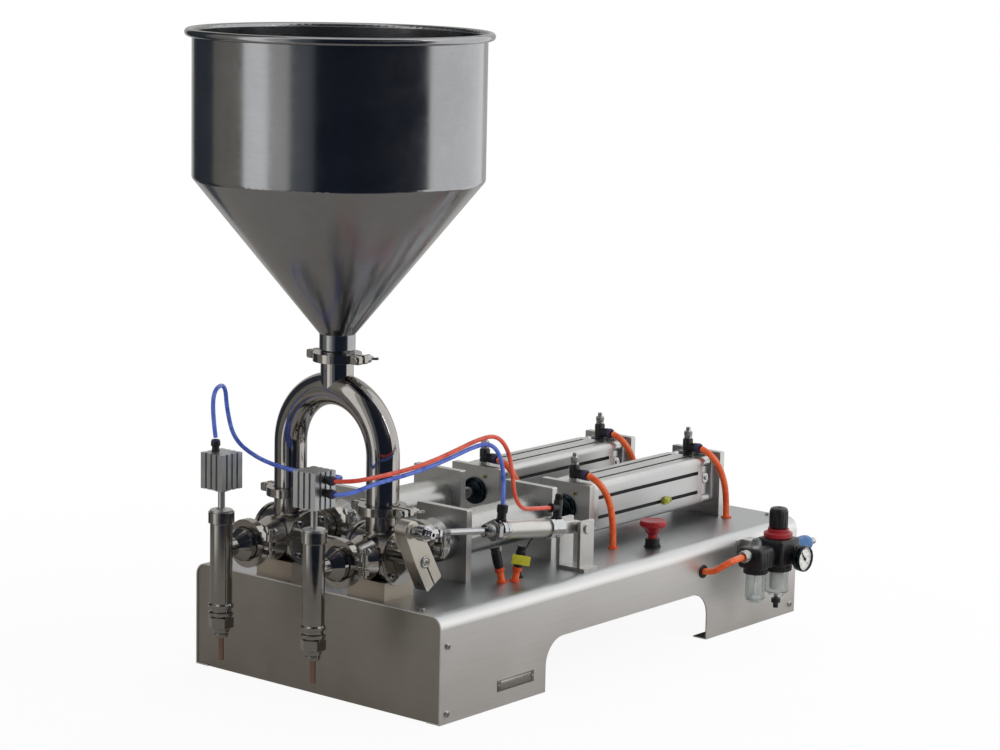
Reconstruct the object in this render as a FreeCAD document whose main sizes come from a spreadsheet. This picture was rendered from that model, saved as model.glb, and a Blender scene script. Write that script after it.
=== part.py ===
import FreeCAD, Part
import math
import os
import re

import Sketcher
from FreeCAD import Placement, Rotation, Vector

# Two-head piston filling machine.
# X runs to the right seen from the nozzles, Y runs to the back, Z is up, and the origin is on
# the table, in the middle of the front panel's foot flange. All sizes are millimetres.

doc = FreeCAD.newDocument("PistonFiller")
sheet = doc.addObject("Spreadsheet::Sheet", "Sizes")

# The driving sizes. A setback is measured from the casing's front face towards the back, and a
# height from the table.
sizes = {
    # casing
    "casing_width": 462, "casing_length": 856, "casing_height": 150,
    "sheet_wall": 2, "bend_radius": 18, "foot_flange": 24, "panel_gap": 0.2, "panel_inset": 2,
    "arch_start": 228, "arch_end": 618, "arch_height": 75, "arch_radius": 38,
    "stiffener_width": 40, "stiffener_depth": 22, "stiffener_reach": 204,
    # two filling units
    "unit_spacing": 173, "axis_height": 208, "valve_setback": 42,
    # three-way valves
    "valve_radius": 38, "valve_half_length": 31, "cover_radius": 40, "cover_thickness": 6,
    "cover_spigot": 4, "cover_screw_circle": 32, "rotor_radius": 29, "running_play": 0.05,
    "blade_chord": 20, "front_port_reach": 84, "rear_port_reach": 78, "port_throat": 14,
    "port_bore": 20, "port_radius": 23, "port_root": 31, "block_width": 68, "block_depth": 60,
    "block_height": 26, "shaft_radius": 9, "coupling_radius": 15, "coupling_length": 44,
    # clamped pipe joints
    "ferrule_radius": 29, "ferrule_lip": 1.6, "ferrule_slope": 2.4, "gasket_thickness": 1.6,
    "jaw_radius": 34, "jaw_width": 12, "jaw_gap": 5, "jaw_play": 0.15, "clamp_ear": 15,
    "ear_thickness": 7, "bolt_radius": 3, "wing_span": 30,
    # hopper and feed pipe
    "top_port_reach": 62, "leg_length": 70, "neck_length": 44.5, "hopper_outlet_radius": 25,
    "outlet_length": 32, "cone_height": 214, "hopper_radius": 200, "shell_height": 201,
    "rim_radius": 5.5, "hopper_wall": 2,
    # nozzles
    "nozzle_reach": 137, "nozzle_radius": 15.5, "nozzle_bore": 11, "nozzle_top": 246,
    "nozzle_collar_radius": 18, "nozzle_collar_height": 18, "nozzle_ring_radius": 17.4,
    "nozzle_bottom": 115,
    "branch_radius": 13, "branch_bore": 10, "nozzle_nut_height": 18, "nozzle_nut_width": 31,
    "tip_end": 51, "tip_radius": 4, "tip_hub_height": 13, "tip_hub_radius": 12, "tip_bore": 2.6,
    "plunger_radius": 3, "plunger_head": 8, "plunger_travel": 12, "nozzle_cylinder_width": 40,
    "nozzle_cylinder_height": 50, "nozzle_cylinder_base": 294, "nozzle_cylinder_bore": 12.5,
    "yoke_wall": 4, "neck_radius": 4.8,
    # product barrels and their plates
    "barrel_radius": 32, "barrel_wall": 2.5, "barrel_start": 150, "barrel_plate_setback": 168,
    "centre_plate_setback": 360, "cylinder_plate_setback": 449, "rear_plate_setback": 782,
    "plate_thickness": 11, "plate_width": 92, "barrel_plate_top": 254, "centre_plate_top": 257,
    "cylinder_plate_top": 247, "rear_plate_top": 250, "piston_length": 26, "piston_setback": 160,
    # air cylinders
    "drive_width": 75, "drive_bore": 31.5, "groove_offset": 15, "groove_width": 8,
    "groove_depth": 6, "front_head_length": 22, "rear_head_length": 46, "drive_rod_radius": 9,
    "air_piston_gap": 10, "air_piston_length": 24, "gland_radius": 21, "gland_length": 9,
    "stroke": 150,
    # lever and reversing cylinder
    "lever_arm": 55, "lever_tilt": 30, "lever_width": 34, "lever_thickness": 20,
    "lever_gap": 21.5, "lever_tail": 40, "lever_eye": 13, "lever_boss_radius": 11, "lever_boss_reach": 5,
    "pin_radius": 5, "pin_clearance": 0.6,
    "reversing_gap": 20, "reversing_radius": 14.5, "pivot_setback": 349, "pivot_height": 211,
    "reversing_bore": 12.5, "reversing_rod_radius": 4.5, "reversing_start": 38,
    "reversing_length": 144, "reversing_neck": 26, "eye_radius": 11, "eye_width": 13,
    "bracket_width": 42, "bracket_depth": 32, "bracket_wall": 5, "bracket_top": 223,
    "tang_width": 14, "pivot_radius": 5,
    # stop button
    "button_inset": 44, "button_setback": 534, "button_radius": 20, "button_top": 191,
    "button_travel": 4, "collar_radius": 11, "collar_height": 14,
    # filter and regulator
    "filter_offset": 44, "filter_setback": 737, "lubricator_setback": 679, "filter_width": 50,
    "filter_base": 104, "filter_top": 146, "flow_height": 130, "bowl_radius": 18, "bowl_bottom": 55,
    "ring_radius": 22, "ring_height": 14, "knob_radius": 14.5, "knob_top": 192,
    "gauge_radius": 20, "gauge_depth": 14, "gauge_setback": 748, "gauge_height": 117,
    "supply_hole_setback": 604, "supply_hole_height": 108, "supply_hole_radius": 8,
    # fasteners and small fittings
    "screw_radius": 2.5, "screw_head_radius": 4.5, "screw_head_height": 2.6, "screw_length": 8,
    "screw_play": 0.15, "controller_radius": 8, "controller_height": 24, "controller_reach": 24,
    "controller_knob_height": 18, "air_tube_radius": 5, "pilot_tube_radius": 3,
    "sensor_setback": 645, "sensor_length": 22, "sensor_height": 16,
}
for row, (name, size) in enumerate(sizes.items(), start=1):
    sheet.set(f"A{row}", str(size))
    sheet.setAlias(f"A{row}", name)
doc.recompute()

# Places that many pieces share, as expressions of the sizes.
FRONT = "(-foot_flange / 2 - panel_inset)"
REAR = f"({FRONT} + casing_length)"
DECK = "casing_height"
AXIS = "axis_height"
VALVE_Y = f"({FRONT} + valve_setback)"
NOZZLE_Y = f"({VALVE_Y} - nozzle_reach)"
HALF_GASKET = "gasket_thickness / 2"
LEG_JOINT = f"({AXIS} + top_port_reach)"
BEND = f"({LEG_JOINT} + leg_length)"
FEED_JOINT = f"({BEND} + unit_spacing / 2 + neck_length)"
CONE_BOTTOM = f"({FEED_JOINT} + outlet_length)"
CONE_TOP = f"({CONE_BOTTOM} + cone_height)"
RIM_TOP = f"({CONE_TOP} + shell_height)"
LEVER_X = "(unit_spacing / 2 + valve_half_length + cover_thickness + lever_gap)"
REVERSING_X = f"({LEVER_X} + lever_thickness + reversing_gap)"
BUTTON_X = "(casing_width / 2 - button_inset)"
SIDES = {"left": "(-unit_spacing / 2)", "right": "(unit_spacing / 2)"}

# The ways a profile can stand: "up" is as drawn, "side" is drawn in Y and Z and grows along +X,
# "front" is drawn in X and Z and grows along -Y.
STANCES = {
    "up": Rotation(),
    "side": Rotation(Vector(1, 1, 1), 120),
    "front": Rotation(Vector(1, 0, 0), 90),
}
# The turns that lay a piece drawn along Z on another axis.
AXES = {
    "+z": Rotation(),
    "-z": Rotation(Vector(1, 0, 0), 180),
    "+x": Rotation(Vector(0, 1, 0), 90),
    "-x": Rotation(Vector(0, 1, 0), -90),
    "+y": Rotation(Vector(1, 0, 0), -90),
    "-y": Rotation(Vector(1, 0, 0), 90),
}

nodes = {}


def sized(text):
    """Turn plain size names into references to the sheet."""
    return re.sub(r"[A-Za-z_]+", lambda word: "Sizes." + word[0] if word[0] in sizes else word[0], str(text))


def number(text):
    """The present value of an expression."""
    return float(sheet.evalExpression(sized(text)))


def tie(piece, **properties):
    for key, text in properties.items():
        piece.setExpression(key, sized(text))


def place(piece, at, turn=Rotation()):
    piece.Placement = Placement(Vector(), turn)
    for letter, text in zip("xyz", at):
        piece.setExpression("Placement.Base." + letter, sized(text))
    return piece


def node(name, piece):
    """Name a finished sub-part: its label is the name of its file."""
    doc.recompute()
    piece.Label = name
    nodes[name] = piece
    return piece


def box(name, low, extent):
    piece = doc.addObject("Part::Box", name)
    tie(piece, Length=extent[0], Width=extent[1], Height=extent[2])
    return place(piece, low)


def middle_box(name, middle, low, extent):
    """A box centred on middle in X."""
    return box(name, (f"{middle} - ({extent[0]}) / 2", low[0], low[1]), extent)


def rod(name, axis, radius, start, length):
    piece = doc.addObject("Part::Cylinder", name)
    tie(piece, Radius=radius, Height=length)
    return place(piece, start, AXES[axis])


def fuse(name, *pieces):
    whole = doc.addObject("Part::MultiFuse", name)
    whole.Shapes = list(pieces)
    whole.Refine = True
    return whole


def group(name, *pieces):
    whole = doc.addObject("Part::Compound", name)
    whole.Links = list(pieces)
    return whole


def cut(name, base, *tools):
    whole = doc.addObject("Part::Cut", name)
    whole.Base = base
    whole.Tool = tools[0] if len(tools) == 1 else group(name + "_tools", *tools)
    whole.Refine = True
    return whole


def rounded(name, base, radius, wanted):
    """Round the edges of base for which wanted(edge) holds."""
    doc.recompute()
    piece = doc.addObject("Part::Fillet", name)
    piece.Base = base
    size = number(radius)
    piece.Edges = [(index, size, size) for index, edge in enumerate(base.Shape.Edges,
        start=1) if wanted(edge)]
    return piece


def along(direction):
    """True for straight edges that run along a direction."""
    def test(edge):
        if not isinstance(edge.Curve, Part.Line):
            return False
        return abs(abs(edge.tangentAt(edge.FirstParameter).dot(direction)) - 1) < 1e-6
    return test


def origin_plane(body, role):
    return next(plane for plane in body.Origin.OriginFeatures if plane.Role == role)


def outline(body, role, corners, name):
    """A closed sketch on one of the body's own planes. A corner is (x, y) or (x, y, radius)."""
    sketch = body.newObject("Sketcher::SketchObject", name)
    sketch.AttachmentSupport = [(origin_plane(body, role), "")]
    sketch.MapMode = "FlatFace"
    points = [Vector(number(corner[0]), number(corner[1]), 0) for corner in corners]
    radii = [number(corner[2]) if len(corner) > 2 else 0 for corner in corners]
    count = len(points)

    def trimmed(index, towards):
        """The end of the edge at a corner, moved along it where an arc takes its place."""
        if not radii[index]:
            return points[index]
        back = (points[index - 1] - points[index]).normalize()
        ahead = (points[(index + 1) % count] - points[index]).normalize()
        half_turn = (math.pi - back.getAngle(ahead)) / 2
        way = ahead if towards == "ahead" else back
        return points[index] + way * radii[index] * math.tan(half_turn)

    for index in range(count):
        start, end = trimmed(index, "ahead"), trimmed((index + 1) % count, "back")
        sketch.addGeometry(Part.LineSegment(start, end), False)

    def hold(rule, text=None):
        """Add a constraint, with the expression that drives it."""
        index = sketch.addConstraint(rule)
        if text is not None and sized(text) != str(text):
            sketch.setExpression(f"Constraints[{index}]", sized(text))

    # The corners are held first, so that the arcs then settle between lines that stay put.
    for index, corner in enumerate(corners):
        before, anchor = (index - 1) % count, index
        if radii[index]:
            anchor = sketch.addGeometry(Part.Point(points[index]), True)
            hold(Sketcher.Constraint("PointOnObject", anchor, 1, before))
            hold(Sketcher.Constraint("PointOnObject", anchor, 1, index))
        else:
            hold(Sketcher.Constraint("Coincident", before, 2, index, 1))
        hold(Sketcher.Constraint("DistanceX", -1, 1, anchor, 1, points[index].x), corner[0])
        hold(Sketcher.Constraint("DistanceY", -1, 1, anchor, 1, points[index].y), corner[1])
    for index, corner in enumerate(corners):
        if not radii[index]:
            continue
        before, start, end = (index - 1) % count, trimmed(index, "back"), trimmed(index, "ahead")
        inward = ((start + end) / 2 - points[index]).normalize()
        half_corner = (points[before] - points[index]).getAngle(inward)
        centre = points[index] + inward * radii[index] / math.sin(half_corner)
        first, last = (1, 2) if (start - centre).cross(end - centre).z > 0 else (2, 1)
        angles = [math.atan2((point - centre).y, (point - centre).x) for point in (start,
            end)[::3 - 2 * first]]
        circle = Part.Circle(centre, Vector(0, 0, 1), radii[index])
        arc = sketch.addGeometry(Part.ArcOfCircle(circle, *angles), False)
        hold(Sketcher.Constraint("Radius", arc, radii[index]), corner[2])
        hold(Sketcher.Constraint("Tangent", before, 2, arc, first))
        hold(Sketcher.Constraint("Tangent", index, 1, arc, last))
    return sketch


def padded(name, stance, corners, at, length):
    """A profile grown straight to a length."""
    body = doc.addObject("PartDesign::Body", name)
    sketch = outline(body, "XY_Plane", corners, name + "_outline")
    pad = body.newObject("PartDesign::Pad", name + "_pad")
    pad.Profile = sketch
    tie(pad, Length=length)
    return place(body, at, STANCES[stance])


def turned(name, axis, profile, at):
    """A profile of (radius, distance) corners turned about an axis."""
    body = doc.addObject("PartDesign::Body", name)
    sketch = outline(body, "XZ_Plane", profile, name + "_profile")
    turn = body.newObject("PartDesign::Revolution", name + "_turn")
    turn.Profile = sketch
    turn.ReferenceAxis = (sketch, ["V_Axis"])
    turn.Angle = 360
    return place(body, at, AXES[axis])


def hexagon(width):
    """The corners of a hexagon of a width across its flats."""
    half, point = f"({width}) / 2", f"({width}) / sqrt(3)"
    side = f"({width}) / sqrt(3) / 2"
    return [(half, side), ("0", point), (f"-{half}", side), (f"-{half}", f"-{side}"), ("0", f"-({point})"),
        (half, f"-{side}")]


def mirrored(text):
    return f"(-({text}))"


# Casing: one sheet bent to a deck and two sides, with foot flanges, and an arch in each side.
def casing():
    half, inner = "casing_width / 2", "(casing_width / 2 - sheet_wall)"
    foot, under = "(casing_width / 2 - foot_flange)", "(casing_height - sheet_wall)"
    sheet_corners = [
        (foot, "0"), (half, "0"), (half, DECK, "bend_radius"), (mirrored(half), DECK, "bend_radius"),
        (mirrored(half), "0"), (mirrored(foot), "0"), (mirrored(foot), "sheet_wall"),
        (mirrored(inner), "sheet_wall"), (mirrored(inner), under, "(bend_radius - sheet_wall)"),
        (inner, under, "(bend_radius - sheet_wall)"), (inner, "sheet_wall"), (foot, "sheet_wall"),
    ]
    sheet_body = padded("CasingSheet", "front", sheet_corners, ("0", REAR, "0"), "casing_length")
    start, end = f"({FRONT} + arch_start)", f"({FRONT} + arch_end)"
    arch_corners = [
        (start, "-sheet_wall"), (end, "-sheet_wall"),
        (end, "arch_height", "arch_radius"), (start, "arch_height", "arch_radius"),
    ]
    arch = padded("ArchTool", "side", arch_corners, ("-casing_width / 2 - 1", "0", "0"), "casing_width + 2")
    supply = rod("SupplyHole", "+x", "supply_hole_radius",
                 ("casing_width / 2 - sheet_wall - 1", f"{FRONT} + supply_hole_setback",
                 "supply_hole_height"),
                 "sheet_wall + 2")
    return cut("CasingSheetCut", sheet_body, arch, supply)


def end_panel(name, face, way):
    """A flat panel inside one end of the casing: way is +1 where its flanges run to the back."""
    half, top = "(casing_width / 2 - sheet_wall - panel_gap)", "(casing_height - sheet_wall - panel_gap)"
    foot, notch = "(casing_width / 2 - foot_flange - 1)", "(sheet_wall + panel_gap)"
    corner = "(bend_radius - sheet_wall)"
    panel = padded(name + "Face", "front", [
        (mirrored(foot), "0"), (foot, "0"), (foot, notch), (half, notch), (half, top, corner),
        (mirrored(half), top, corner), (mirrored(half), notch), (mirrored(foot), notch),
    ], ("0", f"{face} + sheet_wall" if way > 0 else face, "0"), "sheet_wall")
    low = face if way > 0 else f"({face} - foot_flange)"
    flange = middle_box(name + "Foot", "0", (low, "0"), (f"2 * {foot}", "foot_flange", "sheet_wall"))
    lip = middle_box(name + "Lip", "0", (low, f"{top} - sheet_wall"),
                     ("casing_width - 2 * bend_radius - 2", "foot_flange", "sheet_wall"))
    wings = [box(f"{name}Wing{letter}", (edge, low, "(sheet_wall * 2)"),
                 ("sheet_wall", "foot_flange", "casing_height - bend_radius - 10"))
             for letter, edge in (("A", mirrored(half)), ("B", f"{half} - sheet_wall"))]
    return fuse(name + "Blank", panel, flange, lip, *wings)


def stiffener(name, middle):
    """A channel under the deck, open downwards, that the plates above are bolted to."""
    half, roof = "stiffener_width / 2", f"({DECK} - sheet_wall)"
    low = f"{roof} - stiffener_depth"
    outer_left, outer_right = f"{middle} - {half}", f"{middle} + {half}"
    corners = [
        (outer_left, low), (f"{outer_left} + sheet_wall", low),
        (f"{outer_left} + sheet_wall", f"{roof} - sheet_wall"),
        (f"{outer_right} - sheet_wall", f"{roof} - sheet_wall"),
        (f"{outer_right} - sheet_wall", low), (outer_right, low), (outer_right, roof), (outer_left, roof),
    ]
    return padded(name, "side", corners, ("-stiffener_reach", "0", "0"), "2 * stiffener_reach")


# Screws with a pan head. A place is (x, y, z, axis), with the axis along which the screw goes in.
def screw_set(name, places, length="screw_length"):
    pieces = []
    for index, (x, y, z, axis) in enumerate(places):
        pieces.append(turned(f"{name}{index}", axis, [
            ("0", "-screw_head_height"), ("screw_head_radius", "-screw_head_height"),
            ("screw_head_radius", "0"), ("screw_radius", "0"), ("screw_radius", length), ("0", length),
        ], (x, y, z)))
    return group(name + "Set", *pieces)


def screw_holes(name, places, length="screw_length"):
    return group(name + "Holes", *[
        rod(f"{name}Hole{index}", axis, "screw_radius + screw_play", (x, y, z), f"{length} + 1")
        for index, (x, y, z, axis) in enumerate(places)])


# The plates across the deck carry the barrels and the air cylinders: the name, the face's
# setback, the top and whether a channel lies under it.
plates = {
    "barrel_plates": ("barrel_plate_setback", "barrel_plate_top"),
    "centre_plates": ("centre_plate_setback", "centre_plate_top"),
    "cylinder_plates": ("cylinder_plate_setback", "cylinder_plate_top"),
    "end_plates": ("rear_plate_setback", "rear_plate_top"),
}
casing_screws = []
for edge, inward in (("casing_width / 2", "-x"), ("-casing_width / 2", "+x")):
    for setback in (f"{FRONT} + panel_inset + foot_flange / 2", f"{REAR} - panel_inset - foot_flange / 2"):
        casing_screws += [(edge, setback, "sheet_wall * 7", inward),
            (edge, setback, "casing_height * 0.72", inward)]
for setback in (f"{FRONT} + panel_inset + foot_flange / 2", f"{REAR} - panel_inset - foot_flange / 2"):
    casing_screws += [(f"{share} * casing_width", setback, DECK, "-z") for share in (-0.4, 0.4)]
plate_screws = []
for setback, top in plates.values():
    for x in SIDES.values():
        for reach in ("-0.3", "0.3"):
            plate_screws.append((f"{x} + {reach} * plate_width", f"{FRONT} + {setback} + plate_thickness / 2",
                                 f"{DECK} - 2 * sheet_wall", "+z"))
casing_holes = screw_holes("CasingScrew", casing_screws)
plate_holes = screw_holes("PlateScrew", plate_screws, "2 * screw_length")

node("casing", cut("CasingBody", casing(), casing_holes, plate_holes))
end_panels = group("EndPanelSet", end_panel("FrontPanel", f"({FRONT} + panel_inset)", 1),
                   end_panel("RearPanel", f"({REAR} - panel_inset)", -1))
node("end_panels", cut("EndPanelsDrilled", end_panels, casing_holes))
channels = [stiffener(f"Channel{index}", f"({FRONT} + {setback} + plate_thickness / 2)")
            for index, (setback, top) in enumerate(plates.values())]
node("deck_stiffeners", cut("ChannelBody", group("Channels", *channels), plate_holes))
screw_groups = [screw_set("CasingScrew", casing_screws),
    screw_set("PlateScrew", plate_screws, "2 * screw_length")]


# Pipe ends. A ferrule is the rim that a clamp holds; reach is the distance to the joint.
def ferrule_corners(reach, neck="port_radius"):
    face = f"({reach} - {HALF_GASKET})"
    return [(neck, f"{face} - ferrule_lip - ferrule_slope"), ("ferrule_radius", f"{face} - ferrule_lip"),
            ("ferrule_radius", face), ("0", face)]


def port(name, axis, at, root, root_end, neck_start, reach):
    return turned(name, axis, [("0", "0"), (root, "0"), (root, root_end), ("port_radius", neck_start)]
                  + ferrule_corners(reach), at)


def clamp_parts():
    """One clamp on a joint in the XY plane: two grooved jaws, their bolt and pin, and the wing nut."""
    slope = "(ferrule_slope / (ferrule_radius - port_radius))"
    root = f"({HALF_GASKET} + ferrule_lip + ferrule_slope + jaw_play)"
    inner, deep = "(port_radius + 1.5)", "(ferrule_radius + 0.3)"
    at_inner, at_deep = f"({root} - 1.5 * {slope})", f"({root} - ({deep} - port_radius) * {slope})"
    ring = turned("JawRing", "+z", [
        ("jaw_radius", "-jaw_width / 2"), ("jaw_radius", "jaw_width / 2"), (inner, "jaw_width / 2"),
        (inner, at_inner), (deep, at_deep), (deep, mirrored(at_deep)), (inner, mirrored(at_inner)),
        (inner, "-jaw_width / 2")], ("0", "0", "0"))
    ear = "(jaw_gap / 2 + ear_thickness)"
    reach = "(jaw_radius + clamp_ear)"
    ears = []
    for letter, low in (("A", mirrored(reach)), ("B", "ferrule_radius + 2")):
        ears.append(box("Ear" + letter, (low, "-" + ear, "-jaw_width / 2"),
                        (f"{reach} - ferrule_radius - 2", "2 * " + ear, "jaw_width")))
    halves = rounded("JawsRounded", fuse("JawBlank", ring, *ears), "3", along(Vector(0, 1, 0)))
    bolt_at = "(jaw_radius + clamp_ear - 7)"
    gap = box("JawGap", (f"-{reach} - 1", "-jaw_gap / 2", "-jaw_width"),
        (f"2 * {reach} + 2", "jaw_gap", "2 * jaw_width"))
    holes = [rod("EarHole" + letter, "+y", "bolt_radius + screw_play", (x, "-jaw_radius", "0"),
        "2 * jaw_radius")
             for letter, x in (("A", mirrored(bolt_at)), ("B", bolt_at))]
    jaws = cut("Jaws", halves, gap, *holes)
    seat = ear
    bolt = turned("ClampBolt", "+y", [("0", f"-{seat} - 4"), ("bolt_radius + 2", f"-{seat} - 4"),
                                      ("bolt_radius + 2", "-" + seat), ("bolt_radius", "-" + seat),
                                      ("bolt_radius", f"{seat} + 16"), ("0", f"{seat} + 16")],
                                      (bolt_at, "0", "0"))
    pin = turned("ClampPin", "+y", [("0", f"-{seat} - 2"), ("bolt_radius + 2", f"-{seat} - 2"),
                                    ("bolt_radius + 2", "-" + seat), ("bolt_radius", "-" + seat),
                                    ("bolt_radius", seat), ("bolt_radius + 2", seat),
                                    ("bolt_radius + 2", f"{seat} + 2"), ("0", f"{seat} + 2")],
                 (mirrored(bolt_at), "0", "0"))
    hub = rod("WingHub", "+y", "bolt_radius * 2", (bolt_at, seat, "0"), "9")
    wing = padded("Wings", "up", [
        (f"{bolt_at} - wing_span / 2", f"{seat} + 15", "3"), (f"{bolt_at} - bolt_radius", f"{seat} + 7"),
        (f"{bolt_at} - bolt_radius", f"{seat} + 1"), (f"{bolt_at} + bolt_radius", f"{seat} + 1"),
        (f"{bolt_at} + bolt_radius", f"{seat} + 7"), (f"{bolt_at} + wing_span / 2", f"{seat} + 15", "3"),
        (f"{bolt_at} + wing_span / 2 - 7", f"{seat} + 19"), (f"{bolt_at} + 5", f"{seat} + 11"),
        (f"{bolt_at} - 5", f"{seat} + 11"), (f"{bolt_at} - wing_span / 2 + 7", f"{seat} + 19"),
    ], ("0", "0", "-1.5"), "3")
    nut = cut("WingNut", fuse("WingBlank", hub, wing),
              rod("NutBore", "+y", "bolt_radius + screw_play", (bolt_at, "0", "0"), "jaw_radius * 2"))
    return jaws, group("ClampFasteners", bolt, pin, nut)


joints = [("0", VALVE_Y, FEED_JOINT, "+z")]
for x in SIDES.values():
    joints.append((x, VALVE_Y, LEG_JOINT, "+z"))
    joints.append((x, f"{VALVE_Y} + rear_port_reach", AXIS, "-y"))
    joints.append((x, f"{VALVE_Y} - front_port_reach", AXIS, "-y"))
for name, piece in zip(("clamps", "clamp_fasteners"), clamp_parts()):
    copies = []
    for index, (x, y, z, axis) in enumerate(joints):
        copies.append(place(group(f"{name}{index}", piece), (x, y, z), AXES[axis]))
    node(name, group(name + "_set", *copies))
gaskets = []
for index, (x, y, z, axis) in enumerate(joints):
    gaskets.append(turned(f"Gasket{index}", axis, [
        ("port_bore", "-" + HALF_GASKET), ("ferrule_radius - 0.6", "-" + HALF_GASKET),
        ("ferrule_radius - 0.6", HALF_GASKET), ("port_bore", HALF_GASKET)], (x, y, z)))
node("seals", group("Gaskets", *gaskets))

# Hopper: a spun cone and cylinder with a rolled rim and a clamped outlet.
joint = f"({FEED_JOINT} + {HALF_GASKET})"
hopper_wall = turned("HopperWall", "+z", [
    ("port_bore", joint), ("ferrule_radius", joint), ("ferrule_radius", f"{joint} + ferrule_lip"),
    ("port_radius", f"{joint} + ferrule_lip + ferrule_slope"),
    ("port_radius", f"{joint} + jaw_width / 2 + 1"), ("hopper_outlet_radius", f"{joint} + jaw_width / 2 + 4"),
    ("hopper_outlet_radius", CONE_BOTTOM), ("hopper_radius", CONE_TOP, "hopper_wall * 4"),
    ("hopper_radius", f"{RIM_TOP} - rim_radius"), ("hopper_radius - hopper_wall", f"{RIM_TOP} - rim_radius"),
    ("hopper_radius - hopper_wall", CONE_TOP, "hopper_wall * 3"),
    ("hopper_outlet_radius - hopper_wall", CONE_BOTTOM),
    ("hopper_outlet_radius - hopper_wall", f"{joint} + jaw_width / 2 + 4"),
    ("port_bore", f"{joint} + jaw_width / 2")],
    ("0", VALVE_Y, "0"))
rim = doc.addObject("Part::Torus", "HopperRim")
tie(rim, Radius1="hopper_radius - hopper_wall / 2 + rim_radius", Radius2="rim_radius")
place(rim, ("0", VALVE_Y, f"{RIM_TOP} - rim_radius"))
node("hopper", fuse("HopperBody", hopper_wall, rim))


# Feed pipe: two legs, a half-circle bend and the neck under the hopper.
def feed(name, radius, ends):
    """The pipe as a solid of one radius, with ferrules where ends holds."""
    bend = doc.addObject("Part::Torus", name + "Bend")
    tie(bend, Radius1="unit_spacing / 2", Radius2=radius)
    bend.Angle3 = 180
    pieces = [place(bend, ("0", VALVE_Y, BEND), AXES["-y"])]
    low = f"({LEG_JOINT} + {HALF_GASKET})"
    for side, x in SIDES.items():
        if ends:
            pieces.append(turned(name + "Leg" + side, "-z", [("0", "0"), (radius, "0")]
                          + ferrule_corners("leg_length"), (x, VALVE_Y, BEND)))
        else:
            pieces.append(rod(name + "Leg" + side, "+z", radius, (x, VALVE_Y, f"{low} - 1"),
                f"{BEND} - {low} + 1"))
    start = f"({BEND} + unit_spacing / 2)"
    if ends:
        pieces.append(turned(name + "Neck", "+z", [("0", "0"), (radius, "0")]
                      + ferrule_corners("neck_length"), ("0", VALVE_Y, start)))
    else:
        pieces.append(rod(name + "Neck", "+z", radius, ("0", VALVE_Y, start), "neck_length"))
    return fuse(name, *pieces)


node("feed_pipe", cut("FeedPipeBody", feed("FeedOuter", "port_radius", True),
    feed("FeedInner", "port_bore", False)))

# Three-way valves: a bored body with three ports, two covers and a plug whose blade shuts
# either the hopper port or the nozzle port, and leaves the other open to the barrel.
PLUG_HALF = "(valve_half_length - cover_spigot - running_play)"
valve_pieces, cover_pieces, block_pieces = [], [], []
cover_screws, shaft_end = [], f"({LEVER_X} + lever_thickness + 1)"
for side, x in SIDES.items():
    at = (x, VALVE_Y, AXIS)
    shell = fuse("ValveBlank" + side,
                 rod("ValveShell" + side, "+x", "valve_radius",
                 (f"{x} - valve_half_length", VALVE_Y, AXIS), "2 * valve_half_length"),
                 port("TopPort" + side, "+z", at, "port_radius", "valve_radius", "valve_radius + 1",
                 "top_port_reach"),
                 port("FrontPort" + side, "-y", at, "port_root", "valve_radius", "valve_radius + 22",
                 "front_port_reach"),
                 port("RearPort" + side, "+y", at, "port_root", "valve_radius", "valve_radius + 22",
                 "rear_port_reach"))
    tools = [rod("ValveBore" + side, "+x", "rotor_radius + running_play",
        (f"{x} - valve_half_length - 1", VALVE_Y, AXIS), "2 * valve_half_length + 2")]
    for axis, reach in (("+z", "top_port_reach"), ("-y", "front_port_reach"), ("+y", "rear_port_reach")):
        tools.append(turned(f"PortBore{side}{'udf'['+z -y +y'.split().index(axis)]}", axis, [
            ("0", "0"), ("port_throat", "0"), ("port_throat", "valve_radius - 2"),
            ("port_bore", "valve_radius + 4"),
            ("port_bore", f"{reach} + 1"), ("0", f"{reach} + 1")], at))
    valve_pieces.append(cut("ValveBody" + side, shell, *tools))
    for hand, way in (("-x", -1), ("+x", 1)):
        blind = side == "left" and way < 0
        start = f"({x} + {way} * (valve_half_length + cover_thickness))"
        profile = [("cover_radius - 3", "0"), ("cover_radius - 3", "1.2"), ("cover_radius", "1.2"),
            ("cover_radius", "cover_thickness"),
                   ("rotor_radius", "cover_thickness"), ("rotor_radius", "cover_thickness + cover_spigot")]
        if blind:
            profile = [("0", "0")] + profile + [("0", "cover_thickness + cover_spigot")]
        else:
            bore = "shaft_radius + running_play"
            profile = [(bore, "0")] + profile + [(bore, "cover_thickness + cover_spigot")]
        cover = turned(f"Cover{side}{'ab'[way > 0]}", "-x" if way > 0 else "+x", profile,
            (start, VALVE_Y, AXIS))
        spots = []
        for turn in (45, 135, 225, 315):
            rise, across = math.sin(math.radians(turn)), math.cos(math.radians(turn))
            spots.append((start, f"{VALVE_Y} + {across:.6f} * cover_screw_circle",
                          f"{AXIS} + {rise:.6f} * cover_screw_circle", "-x" if way > 0 else "+x"))
        cover_screws += spots
        cover_pieces.append(cover)
    block = box("Block" + side, (f"{x} - block_width / 2", f"{VALVE_Y} - block_depth / 2 - 2", DECK),
                ("block_width", "block_depth", "block_height"))
    block_pieces.append(cut("Cradle" + side, block, rod(
        "CradleBore" + side, "+x", "valve_radius", (f"{x} - valve_half_length", VALVE_Y, AXIS),
        "2 * valve_half_length"), rod(
        "CradleEndA" + side, "+x", "cover_radius + 0.2", (f"{x} - block_width / 2 - 1", VALVE_Y, AXIS),
        "block_width / 2 - valve_half_length + 1"), rod(
        "CradleEndB" + side, "+x", "cover_radius + 0.2", (f"{x} + valve_half_length", VALVE_Y, AXIS),
        "block_width / 2 - valve_half_length + 1")))
cover_holes = screw_holes("CoverScrew", cover_screws)
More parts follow.
